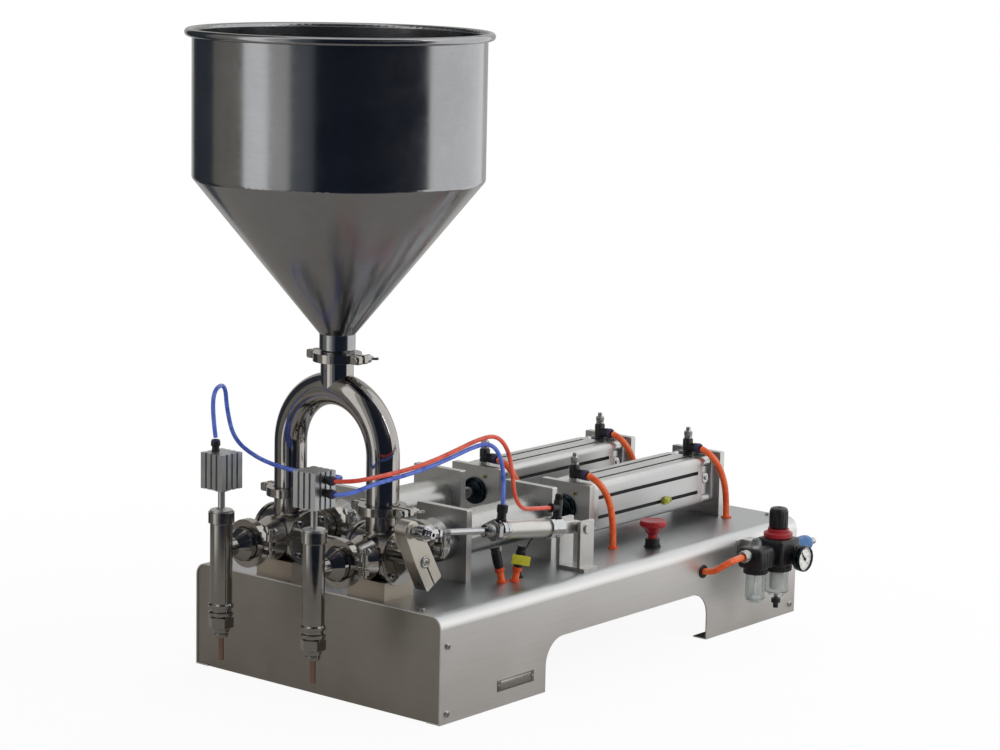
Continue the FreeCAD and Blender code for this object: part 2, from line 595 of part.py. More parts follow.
node("valve_bodies", cut("ValveBodiesDrilled", group("ValveBodySet", *valve_pieces), cover_holes))
node("valve_covers", cut("CoversDrilled", group("CoverSet", *cover_pieces), cover_holes))
node("screws", group("ScrewSet", *screw_groups, screw_set("CoverScrew", cover_screws)))
node("support_blocks", group("Blocks", *block_pieces))
for side, x in SIDES.items():
    plug = rod("Plug" + side, "+x", "rotor_radius", (f"{x} - {PLUG_HALF}", VALVE_Y, AXIS), f"2 * {PLUG_HALF}")
    # The blade stands at the front and a little up, so it is turned by half the lever's travel.
    window = box("Window" + side, ("-port_bore", "-blade_chord", "-2 * rotor_radius"),
                 ("2 * port_bore", "3 * rotor_radius", "4 * rotor_radius"))
    turned_window = group("WindowTurned" + side, window)
    place(turned_window, (x, VALVE_Y, AXIS), Rotation(Vector(-1, 0, 0), 15))
    turned_window.setExpression("Placement.Rotation.Angle", sized("lever_tilt / 2"))
    hub = rod("PlugHub" + side, "+x", "shaft_radius + 4", (f"{x} - port_bore", VALVE_Y, AXIS),
        "2 * port_bore")
    bore = rod("PlugBore" + side, "+x", "shaft_radius", (f"{x} - valve_half_length", VALVE_Y, AXIS),
        "2 * valve_half_length")
    node("rotor_" + side, cut("Rotor" + side, fuse("RotorBlank" + side,
        cut("PlugCut" + side, plug, turned_window), hub), bore))
start = f"(-unit_spacing / 2 - {PLUG_HALF})"
node("valve_shaft", rod("Shaft", "+x", "shaft_radius", (start, VALVE_Y, AXIS), f"{shaft_end} - {start}"))

# Product barrels, with a cone and a ferrule in front, and their pistons.
barrel_pieces = []
BARREL_END = f"({FRONT} + centre_plate_setback)"
for side, x in SIDES.items():
    joint = f"({VALVE_Y} + rear_port_reach)"
    face, inner = f"({HALF_GASKET})", "(barrel_radius - barrel_wall)"
    straight = f"({FRONT} + barrel_start - {joint})"
    barrel_pieces.append(turned("Barrel" + side, "+y", [
        ("port_bore", face), ("ferrule_radius", face), ("ferrule_radius", f"{face} + ferrule_lip"),
        ("port_radius", f"{face} + ferrule_lip + ferrule_slope"), ("port_radius", "jaw_width / 2 + 2"),
        ("barrel_radius", straight), ("barrel_radius", f"{BARREL_END} - {joint}"),
        (inner, f"{BARREL_END} - {joint}"), (inner, f"{straight} + 1"),
        ("port_bore", "jaw_width / 2 + 3")], (x, joint, AXIS)))
node("barrels", group("BarrelSet", *barrel_pieces))

# Plates across the deck, with the bores for what passes through them.
bores = {"barrel_plates": "barrel_radius", "centre_plates": "drive_rod_radius + 1",
         "cylinder_plates": "drive_rod_radius + 1", "end_plates": None}
for name, (setback, top) in plates.items():
    pieces = []
    for side, x in SIDES.items():
        pieces.append(rounded(name + side, box(name + side + "Slab",
            (f"{x} - plate_width / 2", f"{FRONT} + {setback}", DECK),
                      ("plate_width", "plate_thickness", f"{top} - {DECK}")), "1.5",
                      lambda edge: along(Vector(0, 1, 0))(edge) and edge.CenterOfMass.z > number(top) - 1))
    tools = [plate_holes]
    if bores[name]:
        tools += [rod(f"{name}Bore{side}", "+y", bores[name], (x, f"{FRONT} + {setback} - 1", AXIS),
            "plate_thickness + 2")
                  for side, x in SIDES.items()]
    node(name, cut(name + "_bored", group(name + "_slabs", *pieces), *tools))


# Air cylinders: grooved tubes between two cast heads.
def grooved(width, offsets, groove, depth):
    """The corners of a square with square grooves at offsets on each of its sides."""
    half, corners = f"({width} / 2)", []
    side = [("-" + half, half)]
    for offset in offsets:
        for x, y in ((f"{offset} - {groove} / 2", half), (f"{offset} - {groove} / 2", f"{half} - {depth}"),
                     (f"{offset} + {groove} / 2", f"{half} - {depth}"), (f"{offset} + {groove} / 2", half)):
            side.append((x, y))
    corners += side
    corners += [(y, mirrored(x)) for x, y in side]
    corners += [(mirrored(x), mirrored(y)) for x, y in side]
    corners += [(mirrored(y), x) for x, y in side]
    return corners


HEAD_START = f"({FRONT} + cylinder_plate_setback + plate_thickness)"
TUBE_START = f"({HEAD_START} + front_head_length)"
TUBE_END = f"({FRONT} + rear_plate_setback - rear_head_length)"
tube_pieces, head_pieces, gland_pieces = [], [], []
for side, x in SIDES.items():
    tube = padded("DriveTube" + side, "front", grooved("drive_width",
        ("(-groove_offset)", "groove_offset"), "groove_width", "groove_depth"),
                  (x, TUBE_END, AXIS), f"{TUBE_END} - {TUBE_START}")
    tube_pieces.append(cut("DriveTubeBored" + side, tube,
        rod("DriveBore" + side, "+y", "drive_bore", (x, f"{TUBE_START} - 1", AXIS),
        f"{TUBE_END} - {TUBE_START} + 2")))
    half = "(drive_width / 2)"
    for end, start, length in (("Front", TUBE_START, "front_head_length"),
        ("Rear", f"{TUBE_END} + rear_head_length", "rear_head_length")):
        head = padded(end + "Head" + side, "front", [
            ("-" + half, "-" + half, "10"), (half, "-" + half, "10"), (half, half, "10"),
            ("-" + half, half, "10")],
            (x, start, AXIS), length)
        if end == "Front":
            tool = rod("HeadBore" + side, "+y", "drive_rod_radius + running_play",
                (x, f"{HEAD_START} - 1", AXIS), "front_head_length + 2")
        else:
            waist = [box(f"Waist{side}{turn}", ("-drive_width", "drive_width / 2 - 6",
                "-(rear_head_length - 22) / 2"), ("drive_width * 2", "20",
                "rear_head_length - 22")) for turn in range(4)]
            tools = []
            for turn, blank in enumerate(waist):
                tools.append(place(group(f"WaistTurned{side}{turn}", blank),
                    (x, f"{TUBE_END} + rear_head_length / 2", AXIS),
                                   Rotation(Vector(0, 1, 0), 90 * turn) * AXES["+y"]))
            tool = group("Waists" + side, *tools)
        head_pieces.append(cut(f"{end}HeadCut{side}", head, tool))
    gland = turned("Gland" + side, "-y", [
        ("drive_rod_radius + running_play", "0"), ("gland_radius", "0"), ("gland_radius", "gland_length - 4"),
        ("gland_radius - 5", "gland_length"), ("drive_rod_radius + running_play", "gland_length")],
        (x, f"{FRONT} + cylinder_plate_setback", AXIS))
    gland_pieces.append(gland)
node("cylinder_tubes", group("TubeSet", *tube_pieces))
node("cylinder_heads", group("HeadSet", *head_pieces))
node("rod_glands", group("GlandSet", *gland_pieces))
for side, x in SIDES.items():
    front, rear = f"({FRONT} + piston_setback)", f"({TUBE_START} + air_piston_gap)"
    inner = "(barrel_radius - barrel_wall - running_play)"
    piston = turned("Piston" + side, "+y", [
        ("0", "0"), (f"{inner} - 4", "0"), (inner, "3"), (inner, "8"), (f"{inner} - 2", "8"),
        (f"{inner} - 2", "11"),
        (inner, "11"), (inner, "15"), (f"{inner} - 2", "15"), (f"{inner} - 2", "18"), (inner, "18"),
        (inner, "piston_length"),
        ("0", "piston_length")], (x, front, AXIS))
    node("piston_" + side, piston)
    shank = rod("DriveShank" + side, "+y", "drive_rod_radius", (x, f"{front} + piston_length", AXIS),
        f"{rear} - {front} - piston_length")
    disc = rod("AirPiston" + side, "+y", "drive_bore - running_play", (x, rear, AXIS), "air_piston_length")
    node("drive_rod_" + side, fuse("DriveRod" + side, shank, disc))

# Flow regulators on the air cylinders: a body, a side outlet and a knob.
controllers, controller_knobs = [], []
for side, x in SIDES.items():
    for end, y in (("Front", f"({HEAD_START} + front_head_length / 2)"),
        ("Rear", f"({TUBE_END} + rear_head_length / 2)")):
        name, top = end + side, f"({AXIS} + drive_width / 2)"
        if end == "Rear":
            top = f"({AXIS} + drive_width / 2 - 6)"
        rise = f"({AXIS} + drive_width / 2 + controller_height - {top})"
        body = rod("Stem" + name, "+z", "controller_radius", (x, y, top), rise)
        arm = turned("Arm" + name, "+x", [
            ("0", "0"), ("controller_radius - 1", "0"), ("controller_radius - 1", "controller_reach - 6"),
            ("controller_radius", "controller_reach - 6"), ("controller_radius", "controller_reach"),
            ("0", "controller_reach")], (x, y, f"{AXIS} + drive_width / 2 + 11"))
        controllers.append(fuse("Controller" + name, body, arm))
        controller_knobs.append(turned("ControllerKnob" + name, "+z", [
            ("0", "0"), ("3.5", "0"), ("3.5", "4"), ("6.5", "4"), ("6.5", "12"), ("4", "12"),
            ("4", "controller_knob_height"),
            ("0", "controller_knob_height")], (x, y, f"{AXIS} + drive_width / 2 + controller_height")))
node("speed_controllers", group("ControllerSet", *controllers, *controller_knobs))

# Nozzles: an upright body with a branch from the valve, a nut, a tip and a lifted plunger.
nozzle_pieces, nut_pieces, tip_pieces, yoke_pieces, nozzle_tubes = [], [], [], [], []
CAP_TOP = "(nozzle_top + nozzle_collar_height - 3)"
RING_LOW = "(nozzle_bottom + nozzle_collar_height - 6)"
for side, x in SIDES.items():
    stem = turned("NozzleStem" + side, "+z", [
        ("0", "nozzle_bottom"), ("nozzle_ring_radius - 1", "nozzle_bottom"),
        ("nozzle_ring_radius", "nozzle_bottom + 1.5"),
        ("nozzle_ring_radius", "nozzle_bottom + 5"), ("nozzle_radius - 1", "nozzle_bottom + 7"),
        ("nozzle_radius - 1", f"{RING_LOW} - 1"), ("nozzle_ring_radius", RING_LOW),
        ("nozzle_ring_radius", f"{RING_LOW} + 4"),
        ("nozzle_radius", f"{RING_LOW} + 6"), ("nozzle_radius", "nozzle_top - 1"),
        ("nozzle_collar_radius", "nozzle_top"), ("nozzle_collar_radius", CAP_TOP), ("0", CAP_TOP)],
        (x, NOZZLE_Y, "0"))
    branch = turned("Branch" + side, "+y", [("0", "0"), ("branch_radius", "0"),
        ("branch_radius", "nozzle_radius + 6"),
                    ("port_radius", "nozzle_radius + 22")] + ferrule_corners("(nozzle_reach - front_port_reach)"), (x, NOZZLE_Y, AXIS))
    hollow = rod("NozzleBore" + side, "+z", "nozzle_bore", (x, NOZZLE_Y, "nozzle_bottom - 1"),
        "nozzle_top - nozzle_bottom + 1")
    guide = rod("NozzleGuide" + side, "+z", "plunger_radius + running_play",
        (x, NOZZLE_Y, "nozzle_bottom"), "nozzle_top")
    inlet = turned("NozzleInlet" + side, "+y", [("0", "0"), ("branch_bore", "0"),
        ("branch_bore", "nozzle_radius + 8"),
                   ("port_bore", "nozzle_radius + 24"), ("port_bore", "nozzle_reach"),
                   ("0", "nozzle_reach")], (x, NOZZLE_Y, AXIS))
    nozzle_pieces.append(cut("NozzleBody" + side, fuse("NozzleBlank" + side, stem, branch), hollow, guide,
        inlet))
    nut_low = "(nozzle_bottom - nozzle_nut_height)"
    nut = padded("NozzleNut" + side, "up", hexagon("nozzle_nut_width"), (x, NOZZLE_Y, nut_low),
        "nozzle_nut_height")
    facing = turned("NozzleNutFacing" + side, "+z", [
        ("nozzle_nut_width", "-1"), ("nozzle_nut_width / 2 - 0.5", "-1"), ("nozzle_nut_width / 2 - 0.5", "0"),
        ("nozzle_nut_width / 2 + 3", "2.5"), ("nozzle_nut_width / 2 + 3", "nozzle_nut_height - 2.5"),
        ("nozzle_nut_width / 2 - 0.5", "nozzle_nut_height"),
        ("nozzle_nut_width / 2 - 0.5", "nozzle_nut_height + 1"),
        ("nozzle_nut_width", "nozzle_nut_height + 1")], (x, NOZZLE_Y, nut_low))
    nut_pieces.append(cut("NozzleNutBored" + side, nut, facing, turned("NozzleNutBore" + side, "+z", [
        ("0", "-1"), ("tip_hub_radius - 2", "-1"), ("tip_hub_radius - 2", "nozzle_nut_height - 5"),
        ("tip_hub_radius + 2", "nozzle_nut_height - 5"), ("tip_hub_radius + 2", "nozzle_nut_height + 1"),
        ("0", "nozzle_nut_height + 1")], (x, NOZZLE_Y, nut_low))))
    tip_pieces.append(turned("Tip" + side, "+z", [
        ("tip_bore", "tip_end"), ("tip_radius", "tip_end"), ("tip_radius", f"{nut_low} - tip_hub_height"),
        ("tip_hub_radius - 3", f"{nut_low} - tip_hub_height"), ("tip_hub_radius", f"{nut_low} - 4"),
        ("tip_hub_radius", nut_low),
        ("tip_hub_radius - 2", nut_low), ("tip_hub_radius - 2", "nozzle_bottom - 5"),
        ("tip_hub_radius + 2", "nozzle_bottom - 5"), ("tip_hub_radius + 2", "nozzle_bottom"),
        ("tip_bore", "nozzle_bottom")],
        (x, NOZZLE_Y, "0")))
    bore, height = "plunger_radius + running_play", f"(nozzle_cylinder_base - {CAP_TOP})"
    yoke_pieces.append(turned("Yoke" + side, "+z", [
        (bore, "0"), ("nozzle_radius", "0"), ("nozzle_radius", "yoke_wall - 1"),
        ("neck_radius + 3", "yoke_wall"),
        ("neck_radius", "yoke_wall + 2"), ("neck_radius", f"{height} - yoke_wall"),
        ("neck_radius + 4", f"{height} - yoke_wall"), ("neck_radius + 4", height), (bore, height)],
        (x, NOZZLE_Y, CAP_TOP)))
    cylinder = padded("NozzleCylinder" + side, "up",
        grooved("nozzle_cylinder_width", ("(-nozzle_cylinder_width / 4)", "0",
        "nozzle_cylinder_width / 4"), "3.4", "3"),
                      (x, NOZZLE_Y, "nozzle_cylinder_base"), "nozzle_cylinder_height")
    chamber = rod("NozzleChamber" + side, "+z", "nozzle_cylinder_bore",
        (x, NOZZLE_Y, "nozzle_cylinder_base + 6"), "nozzle_cylinder_height - 12")
    slot = rod("NozzleRodHole" + side, "+z", "plunger_radius + running_play",
        (x, NOZZLE_Y, "nozzle_cylinder_base - 1"), "10")
    nozzle_tubes.append(cut("NozzleCylinderBored" + side, cylinder, chamber, slot))
    low = "(nozzle_bottom + 0.3)"
    plunger = turned("Plunger" + side, "+z", [
        ("0", low), ("plunger_head - 3", low), ("plunger_head", f"{low} + 4"),
        ("plunger_head", f"{low} + 10"),
        ("plunger_radius", f"{low} + 14"), ("plunger_radius", "nozzle_cylinder_base + 7"),
        ("nozzle_cylinder_bore - running_play", "nozzle_cylinder_base + 7"),
        ("nozzle_cylinder_bore - running_play", "nozzle_cylinder_base + 17"),
        ("0", "nozzle_cylinder_base + 17")],
        (x, NOZZLE_Y, "0"))
    node("plunger_" + side, plunger)
node("nozzle_bodies", group("NozzleBodySet", *nozzle_pieces))
node("nozzle_tips", group("TipSet", *nut_pieces, *tip_pieces))
node("nozzle_yokes", group("YokeSet", *yoke_pieces))
node("nozzle_cylinders", group("NozzleTubeSet", *nozzle_tubes))


# Lever on the valve shaft, the pin at its upper end and the cylinder that throws it.
def swung(name, pieces, at, angle, direction=1):
    """Pieces drawn about the origin, set at a place and turned about X: +1 tips them forward."""
    whole = place(group(name, *pieces), at, Rotation(Vector(direction, 0, 0), 10))
    whole.setExpression("Placement.Rotation.Angle", sized(angle))
    return whole


PIN_Y = f"({VALVE_Y} - lever_arm * sin(lever_tilt))"
PIN_Z = f"({AXIS} + lever_arm * cos(lever_tilt))"
PIVOT_Y = f"({FRONT} + pivot_setback)"
SLOPE = f"(atan(({PIN_Z} - pivot_height) / ({PIVOT_Y} - {PIN_Y})))"
REACH = f"(sqrt(({PIN_Z} - pivot_height) ^ 2 + ({PIVOT_Y} - {PIN_Y}) ^ 2))"
lever_plate = padded("LeverPlate", "side", [
    ("lever_width / 2", "-lever_tail", "3"), ("lever_width / 2", "lever_eye", "8"),
    ("lever_eye", "lever_arm + lever_eye", "lever_eye - 0.5"),
    ("-lever_eye", "lever_arm + lever_eye", "lever_eye - 0.5"),
    ("-lever_width / 2", "lever_eye", "8"), ("-lever_width / 2", "-lever_tail", "3")], (LEVER_X, "0", "0"),
    "lever_thickness")
lever_tools = [
    rod("LeverShaftBore", "+x", "shaft_radius", (f"{LEVER_X} - 1", "0", "0"), "lever_thickness + 2"),
    rod("LeverPinBore", "+x", "pin_radius", (f"{LEVER_X} - 1", "0", "lever_arm"),
    "lever_thickness + lever_boss_reach + 2"),
    box("LeverSlit", (f"{LEVER_X} - 1", "-1.2", "-lever_tail - 1"),
    ("lever_thickness + 2", "2.4", "lever_tail")),
    rod("LeverScrewBore", "+y", "screw_radius", (f"{LEVER_X} + lever_thickness / 2", "-lever_width",
    "-lever_tail * 0.7"), "lever_width * 2"),
]
lever_boss = rod("LeverBoss", "+x", "lever_boss_radius", (LEVER_X, "0", "lever_arm"),
    "lever_thickness + lever_boss_reach")
node("lever", swung("Lever", [cut("LeverCut", fuse("LeverBlank", lever_plate, lever_boss), *lever_tools)],
    ("0", VALVE_Y, AXIS), "lever_tilt"))
pin_end = f"({REVERSING_X} - eye_width / 2 - pin_clearance)"
pin_start = f"({LEVER_X} - 6)"
node("lever_pin", turned("LeverPin", "+x", [
    ("0", "0"), ("pin_radius + 4", "0"), ("pin_radius + 4", "6"), ("pin_radius", "6"),
    ("pin_radius", "lever_thickness + lever_boss_reach + 6"),
    ("pin_radius + 4", "lever_thickness + lever_boss_reach + 6"),
    ("pin_radius + 4", f"{pin_end} - {pin_start}"), ("0", f"{pin_end} - {pin_start}")],
    (pin_start, PIN_Y, PIN_Z)))

TUBE_FAR = "(reversing_start + reversing_length)"
tube = turned("ReversingTube", "-y", [
    ("0", "reversing_start"), ("reversing_radius - 3", "reversing_start"),
    ("reversing_radius", "reversing_start + 3"),
    ("reversing_radius", "reversing_start + 16"), ("reversing_radius - 1", "reversing_start + 18"),
    ("reversing_radius - 1", f"{TUBE_FAR} - 18"), ("reversing_radius", f"{TUBE_FAR} - 16"),
    ("reversing_radius", f"{TUBE_FAR} - 3"), ("reversing_radius - 3", TUBE_FAR), ("9", TUBE_FAR),
    ("9", f"{TUBE_FAR} + reversing_neck"), ("0", f"{TUBE_FAR} + reversing_neck")], ("0", "0", "0"))
tang = padded("Tang", "side", [
    ("-reversing_start - 1", "-9"), ("9", "-9", "8.5"), ("9", "9", "8.5"), ("-reversing_start - 1", "9")],
    ("-tang_width / 2", "0", "0"), "tang_width")
inside = rod("ReversingChamber", "-y", "reversing_bore", ("0", "-reversing_start - 8", "0"),
    "reversing_length - 16")
rod_hole = rod("ReversingRodHole", "-y", "reversing_rod_radius + running_play",
    ("0", "-reversing_start - 20", "0"), f"reversing_length + reversing_neck")
pivot_hole = rod("PivotHole", "+x", "pivot_radius + running_play", ("-tang_width", "0", "0"),
    "tang_width * 2")
port_spots = {"front": f"({TUBE_FAR} - 9)", "rear": "(reversing_start + 9)"}
bosses = [rod("Boss" + end, "+z", "7.5", ("0", f"-{spot}", "0"), "reversing_radius + 1") for end,
    spot in port_spots.items()]
barrel = cut("ReversingBarrelCut", fuse("ReversingBlank", tube, tang, *bosses), inside, rod_hole, pivot_hole)
neck_nut = padded("NeckNut", "front", hexagon("27"), ("0", f"-({TUBE_FAR} + 0.5)", "0"), "8")
neck_nut = cut("NeckNutBored", neck_nut, rod("NeckNutBore", "-y", "9", ("0", f"-{TUBE_FAR} + 5", "0"), "30"))
boss_top = "(reversing_radius + 1)"
front_fitting = turned("FrontFitting", "+z", [
    ("0", boss_top), ("6.5", boss_top), ("6.5", f"{boss_top} + 8"), ("7.5", f"{boss_top} + 8"),
    ("7.5", f"{boss_top} + 20"),
    ("4.8", f"{boss_top} + 20"), ("4.8", f"{boss_top} + 9"), ("0", f"{boss_top} + 9")],
    ("0", f"-{port_spots['front']}", "0"))
rear_fitting = fuse("RearFitting", rod("RearStem", "+z", "6.5", ("0", f"-{port_spots['rear']}", boss_top),
    "24"),
                    rod("RearKnob", "+z", "5", ("0", f"-{port_spots['rear']}", boss_top), "33"),
                    rod("RearArm", "-y", "6", ("0", f"-{port_spots['rear']}", f"{boss_top} + 13"), "18"))
band = cut("SwitchBand", rod("BandRing", "-y", "reversing_radius + 1.5",
    ("0", "-reversing_start - 24", "0"), "9"),
           rod("BandBore", "-y", "reversing_radius - 1", ("0", "-reversing_start - 20", "0"), "20"))
switch = box("SwitchBody", ("-reversing_radius - 8", "-reversing_start - 46", "-5"), ("8", "26", "9"))
node("reversing_cylinder", swung("ReversingCylinder", [
    group("ReversingParts", barrel, neck_nut, front_fitting, rear_fitting, fuse("BandSwitch", band, switch))],
    (REVERSING_X, PIVOT_Y, "pivot_height"), SLOPE, -1))
ram = turned("ReversingRam", "-y", [
    ("0", f"{TUBE_FAR} - 26"), ("reversing_bore - running_play", f"{TUBE_FAR} - 26"),
    ("reversing_bore - running_play", f"{TUBE_FAR} - 14"), ("reversing_rod_radius", f"{TUBE_FAR} - 14"),
    ("reversing_rod_radius", f"{REACH} - 26"), ("eye_width / 2", f"{REACH} - 26"),
    ("eye_width / 2", f"{REACH} - 6"),
    ("0", f"{REACH} - 6")], ("0", "0", "0"))
eye = rod("RodEye", "+x", "eye_radius", ("-eye_width / 2", f"-{REACH}", "0"), "eye_width")
eye_screw = turned("EyeScrew", "+x", [("0", "0"), ("pin_radius", "0"), ("pin_radius", "eye_width"),
    ("8", "eye_width"),
                   ("8", "eye_width + 5"), ("0", "eye_width + 5")], ("-eye_width / 2", f"-{REACH}", "0"))
lock_nut = padded("LockNut", "front", hexagon("15"), ("0", f"-{REACH} + 26 + 5", "0"), "5")
lock_nut = cut("LockNutBored", lock_nut, rod("LockNutBore", "-y", "reversing_rod_radius", ("0", "0", "0"),
    REACH))
ram_eye = cut("RamEye", fuse("RamBlank", ram, eye),
    rod("EyeBore", "+x", "pin_radius", ("-eye_width", f"-{REACH}", "0"), "eye_width * 2"))
node("reversing_rod", swung("ReversingRod", [group("RodParts", ram_eye, eye_screw, lock_nut)],
                            (REVERSING_X, PIVOT_Y, "pivot_height"), SLOPE, -1))
cheek_out, cheek_in = "(bracket_width / 2)", "(bracket_width / 2 - bracket_wall)"
bracket = padded("BracketU", "front", [
    (mirrored(cheek_out), DECK), (f"{cheek_out} + 8", DECK), (f"{cheek_out} + 8", f"{DECK} + bracket_wall"),
    (cheek_out, f"{DECK} + bracket_wall"), (cheek_out, "bracket_top"), (cheek_in, "bracket_top"),
    (cheek_in, f"{DECK} + bracket_wall"), (mirrored(cheek_in), f"{DECK} + bracket_wall"),
    (mirrored(cheek_in), "bracket_top"), (mirrored(cheek_out), "bracket_top")],
    (REVERSING_X, f"{PIVOT_Y} + bracket_depth / 2", "0"), "bracket_depth")
bracket = rounded("BracketRounded", bracket, "3", lambda edge: along(Vector(1, 0,
    0))(edge) and edge.CenterOfMass.z > number("bracket_top") - 1)
bracket = cut("BracketBored", bracket, rod("BracketBore", "+x", "pivot_radius",
    (f"{REVERSING_X} - bracket_width", PIVOT_Y, "pivot_height"), "2 * bracket_width"))
gap_side = f"({cheek_in} - tang_width / 2 - 0.4)"
pivot = turned("PivotPin", "+x", [
    ("0", "-3"), ("pivot_radius + 2.5", "-3"), ("pivot_radius + 2.5", "0"), ("pivot_radius", "0"),
    ("pivot_radius", "bracket_wall"), ("pivot_radius + 3", "bracket_wall"),
    ("pivot_radius + 3", f"bracket_wall + {gap_side}"),
    ("pivot_radius", f"bracket_wall + {gap_side}"),
    ("pivot_radius", f"bracket_width - bracket_wall - {gap_side}"),
    ("pivot_radius + 3", f"bracket_width - bracket_wall - {gap_side}"),
    ("pivot_radius + 3", "bracket_width - bracket_wall"),
    ("pivot_radius", "bracket_width - bracket_wall"), ("pivot_radius", "bracket_width"),
    ("pivot_radius + 2.5", "bracket_width"), ("pivot_radius + 2.5", "bracket_width + 3"),
    ("0", "bracket_width + 3")],
    (f"{REVERSING_X} - {cheek_out}", PIVOT_Y, "pivot_height"))
node("reversing_bracket", group("BracketParts", bracket, pivot))

# Stop button on its collar.
at = (BUTTON_X, f"{FRONT} + button_setback", DECK)
stem = "(collar_radius - 4)"
node("stop_collar", turned("StopCollar", "+z", [
    (f"{stem} + running_play", "0"), ("collar_radius", "0"), ("collar_radius", "collar_height"),
    (f"{stem} + running_play", "collar_height")], at))
cap = f"(button_top - {DECK})"
node("stop_button", turned("StopButton", "+z", [
    ("0", "button_travel + 1"), (stem, "button_travel + 1"), (stem, "collar_height + button_travel + 1"),
    ("collar_radius + 1", "collar_height + button_travel + 1"), ("button_radius", f"{cap} - 8"),
    ("button_radius", f"{cap} - 4"), ("button_radius - 8", cap), ("0", cap)], at))

# Filter, regulator and lubricator on the right side.
FX = "(casing_width / 2 + filter_offset)"
REG_Y, LUB_Y = f"({FRONT} + filter_setback)", f"({FRONT} + lubricator_setback)"
TALL = "(filter_top - filter_base)"
SIDE = "(casing_width / 2)"


def block(name, x, y, width, depth, low, height, corner):
    return padded(name, "up", [
        (f"-({width}) / 2", f"-({depth}) / 2", corner), (f"({width}) / 2", f"-({depth}) / 2", corner),
        (f"({width}) / 2", f"({depth}) / 2", corner), (f"-({width}) / 2", f"({depth}) / 2", corner)],
        (x, y, low), height)


regulator = fuse("RegulatorBlank",
                 block("RegulatorBlock", FX, REG_Y, "filter_width", "filter_width", "filter_base", TALL,
                 "10"),
                 rod("RegulatorSkirt", "+z", "ring_radius", (FX, REG_Y, "filter_base - 8"), "9"),
                 block("LubricatorBlock", FX, LUB_Y, "filter_width - 8", "38", "filter_base + 4",
                 f"{TALL} - 10", "9"),
                 rod("LubricatorSkirt", "+z", "18", (FX, LUB_Y, "filter_base - 4"), "9"),
                 rod("LubricatorPlug", "+z", "8", (FX, LUB_Y, "filter_top - 8"), "12"),
                 rod("FlowBody", "+y", "14", (FX, f"{LUB_Y} - 20", "flow_height - 6"),
                 f"{REG_Y} - {LUB_Y} + 20 + filter_width / 2 + 4"))
bowl_seat = cut("BowlSeats", regulator,
                rod("RegulatorSeat", "+z", "bowl_radius", (FX, REG_Y, "filter_base - 9"), "9"),
                rod("LubricatorSeat", "+z", "bowl_radius - 3", (FX, LUB_Y, "filter_base - 9"), "9"))
hanger = padded("Hanger", "up", [
    (SIDE, "-20"), (f"{SIDE} + 3", "-20"), (f"{SIDE} + 3", "-7"), (f"{FX} - filter_width / 2 + 6", "-7"),
    (f"{FX} - filter_width / 2 + 6", "7"), (f"{SIDE} + 3", "7"), (f"{SIDE} + 3", "20"), (SIDE, "20")],
    ("0", f"({REG_Y} + {LUB_Y}) / 2 - 1", "filter_base + 8"), "30")
hanger = cut("HangerTrimmed", hanger, bowl_seat)
outlet = rod("OutletNut", "-y", "9", (FX, f"{LUB_Y} - 20", "flow_height"), "16")
node("filter_body", group("FilterParts", bowl_seat, hanger, outlet))
node("regulator_ring", turned("RegulatorRing", "+z", [
    ("0", "0"), ("ring_radius - 1.5", "0"), ("ring_radius", "1.5"), ("ring_radius", "ring_height - 7"),
    ("ring_radius - 3", "ring_height - 5"), ("knob_radius + 1.5", "ring_height - 5"),
    ("knob_radius + 1.5", "ring_height"),
    ("knob_radius - 6", "ring_height"), ("knob_radius - 6", "ring_height + 8"), ("0", "ring_height + 8")],
    (FX, REG_Y, "filter_top")))
knob_low = "(filter_top + ring_height + 0.3)"
node("regulator_knob", turned("RegulatorKnob", "+z", [
    ("knob_radius - 6 + running_play", "0"), ("knob_radius", "0"),
    ("knob_radius", f"knob_top - {knob_low}", "4"),
    ("0", f"knob_top - {knob_low}"), ("0", "9"), ("knob_radius - 6 + running_play", "9")],
    (FX, REG_Y, knob_low)))


def bowl(name, y, radius, low):
    return turned(name, "+z", [
        ("3.05", low), (f"{radius} * 0.6", low), (radius, f"{low} + {radius} * 0.4"),
        (radius, "filter_base"), (f"{radius} - 2", "filter_base"),
        (f"{radius} - 2", f"{low} + {radius} * 0.4 + 1"), (f"{radius} * 0.6 - 1", f"{low} + 2"),
        ("3.05", f"{low} + 2")], (FX, y, "0"))


node("filter_bowls", group("Bowls", bowl("RegulatorBowl", REG_Y, "bowl_radius", "bowl_bottom"),
                           bowl("LubricatorBowl", LUB_Y, "(bowl_radius - 3)", "bowl_bottom")))
node("drain_valve", turned("DrainValve", "+z", [
    ("0", "-19"), ("4", "-19"), ("4", "-12"), ("7", "-11"), ("7", "-4"), ("3", "-4"), ("3", "4"),
    ("0", "4")], (FX, REG_Y, "bowl_bottom")))
dial = f"({FX} + filter_width / 2)"
gauge_at = (dial, f"{FRONT} + gauge_setback", "gauge_height")
node("gauge", turned("Gauge", "+x", [
    ("0", "0"), ("5", "0"), ("5", "6"), ("gauge_radius - 3", "6"), ("gauge_radius", "9"),
    ("gauge_radius", "6 + gauge_depth"),
    ("gauge_radius - 2", "6 + gauge_depth"), ("gauge_radius - 2", "3 + gauge_depth"),
    ("0", "3 + gauge_depth")], gauge_at))
needle = padded("Needle", "side", [("-1.6", "-4"), ("1.6", "-4"), ("0.5", "gauge_radius - 6"),
    ("-0.5", "gauge_radius - 6")],
                (f"{dial} + 3 + gauge_depth + 0.6", "0", "0"), "0.8")
needle_hub = rod("NeedleHub", "+x", "2.2", (f"{dial} + 3 + gauge_depth + 0.3", "0", "0"), "1.6")
node("gauge_needle", swung("NeedleSet", [fuse("NeedleWhole", needle, needle_hub)],
    ("0", gauge_at[1], gauge_at[2]), "lever_tilt + 10"))
coupling_y = f"({REG_Y} + filter_width / 2 + 4)"
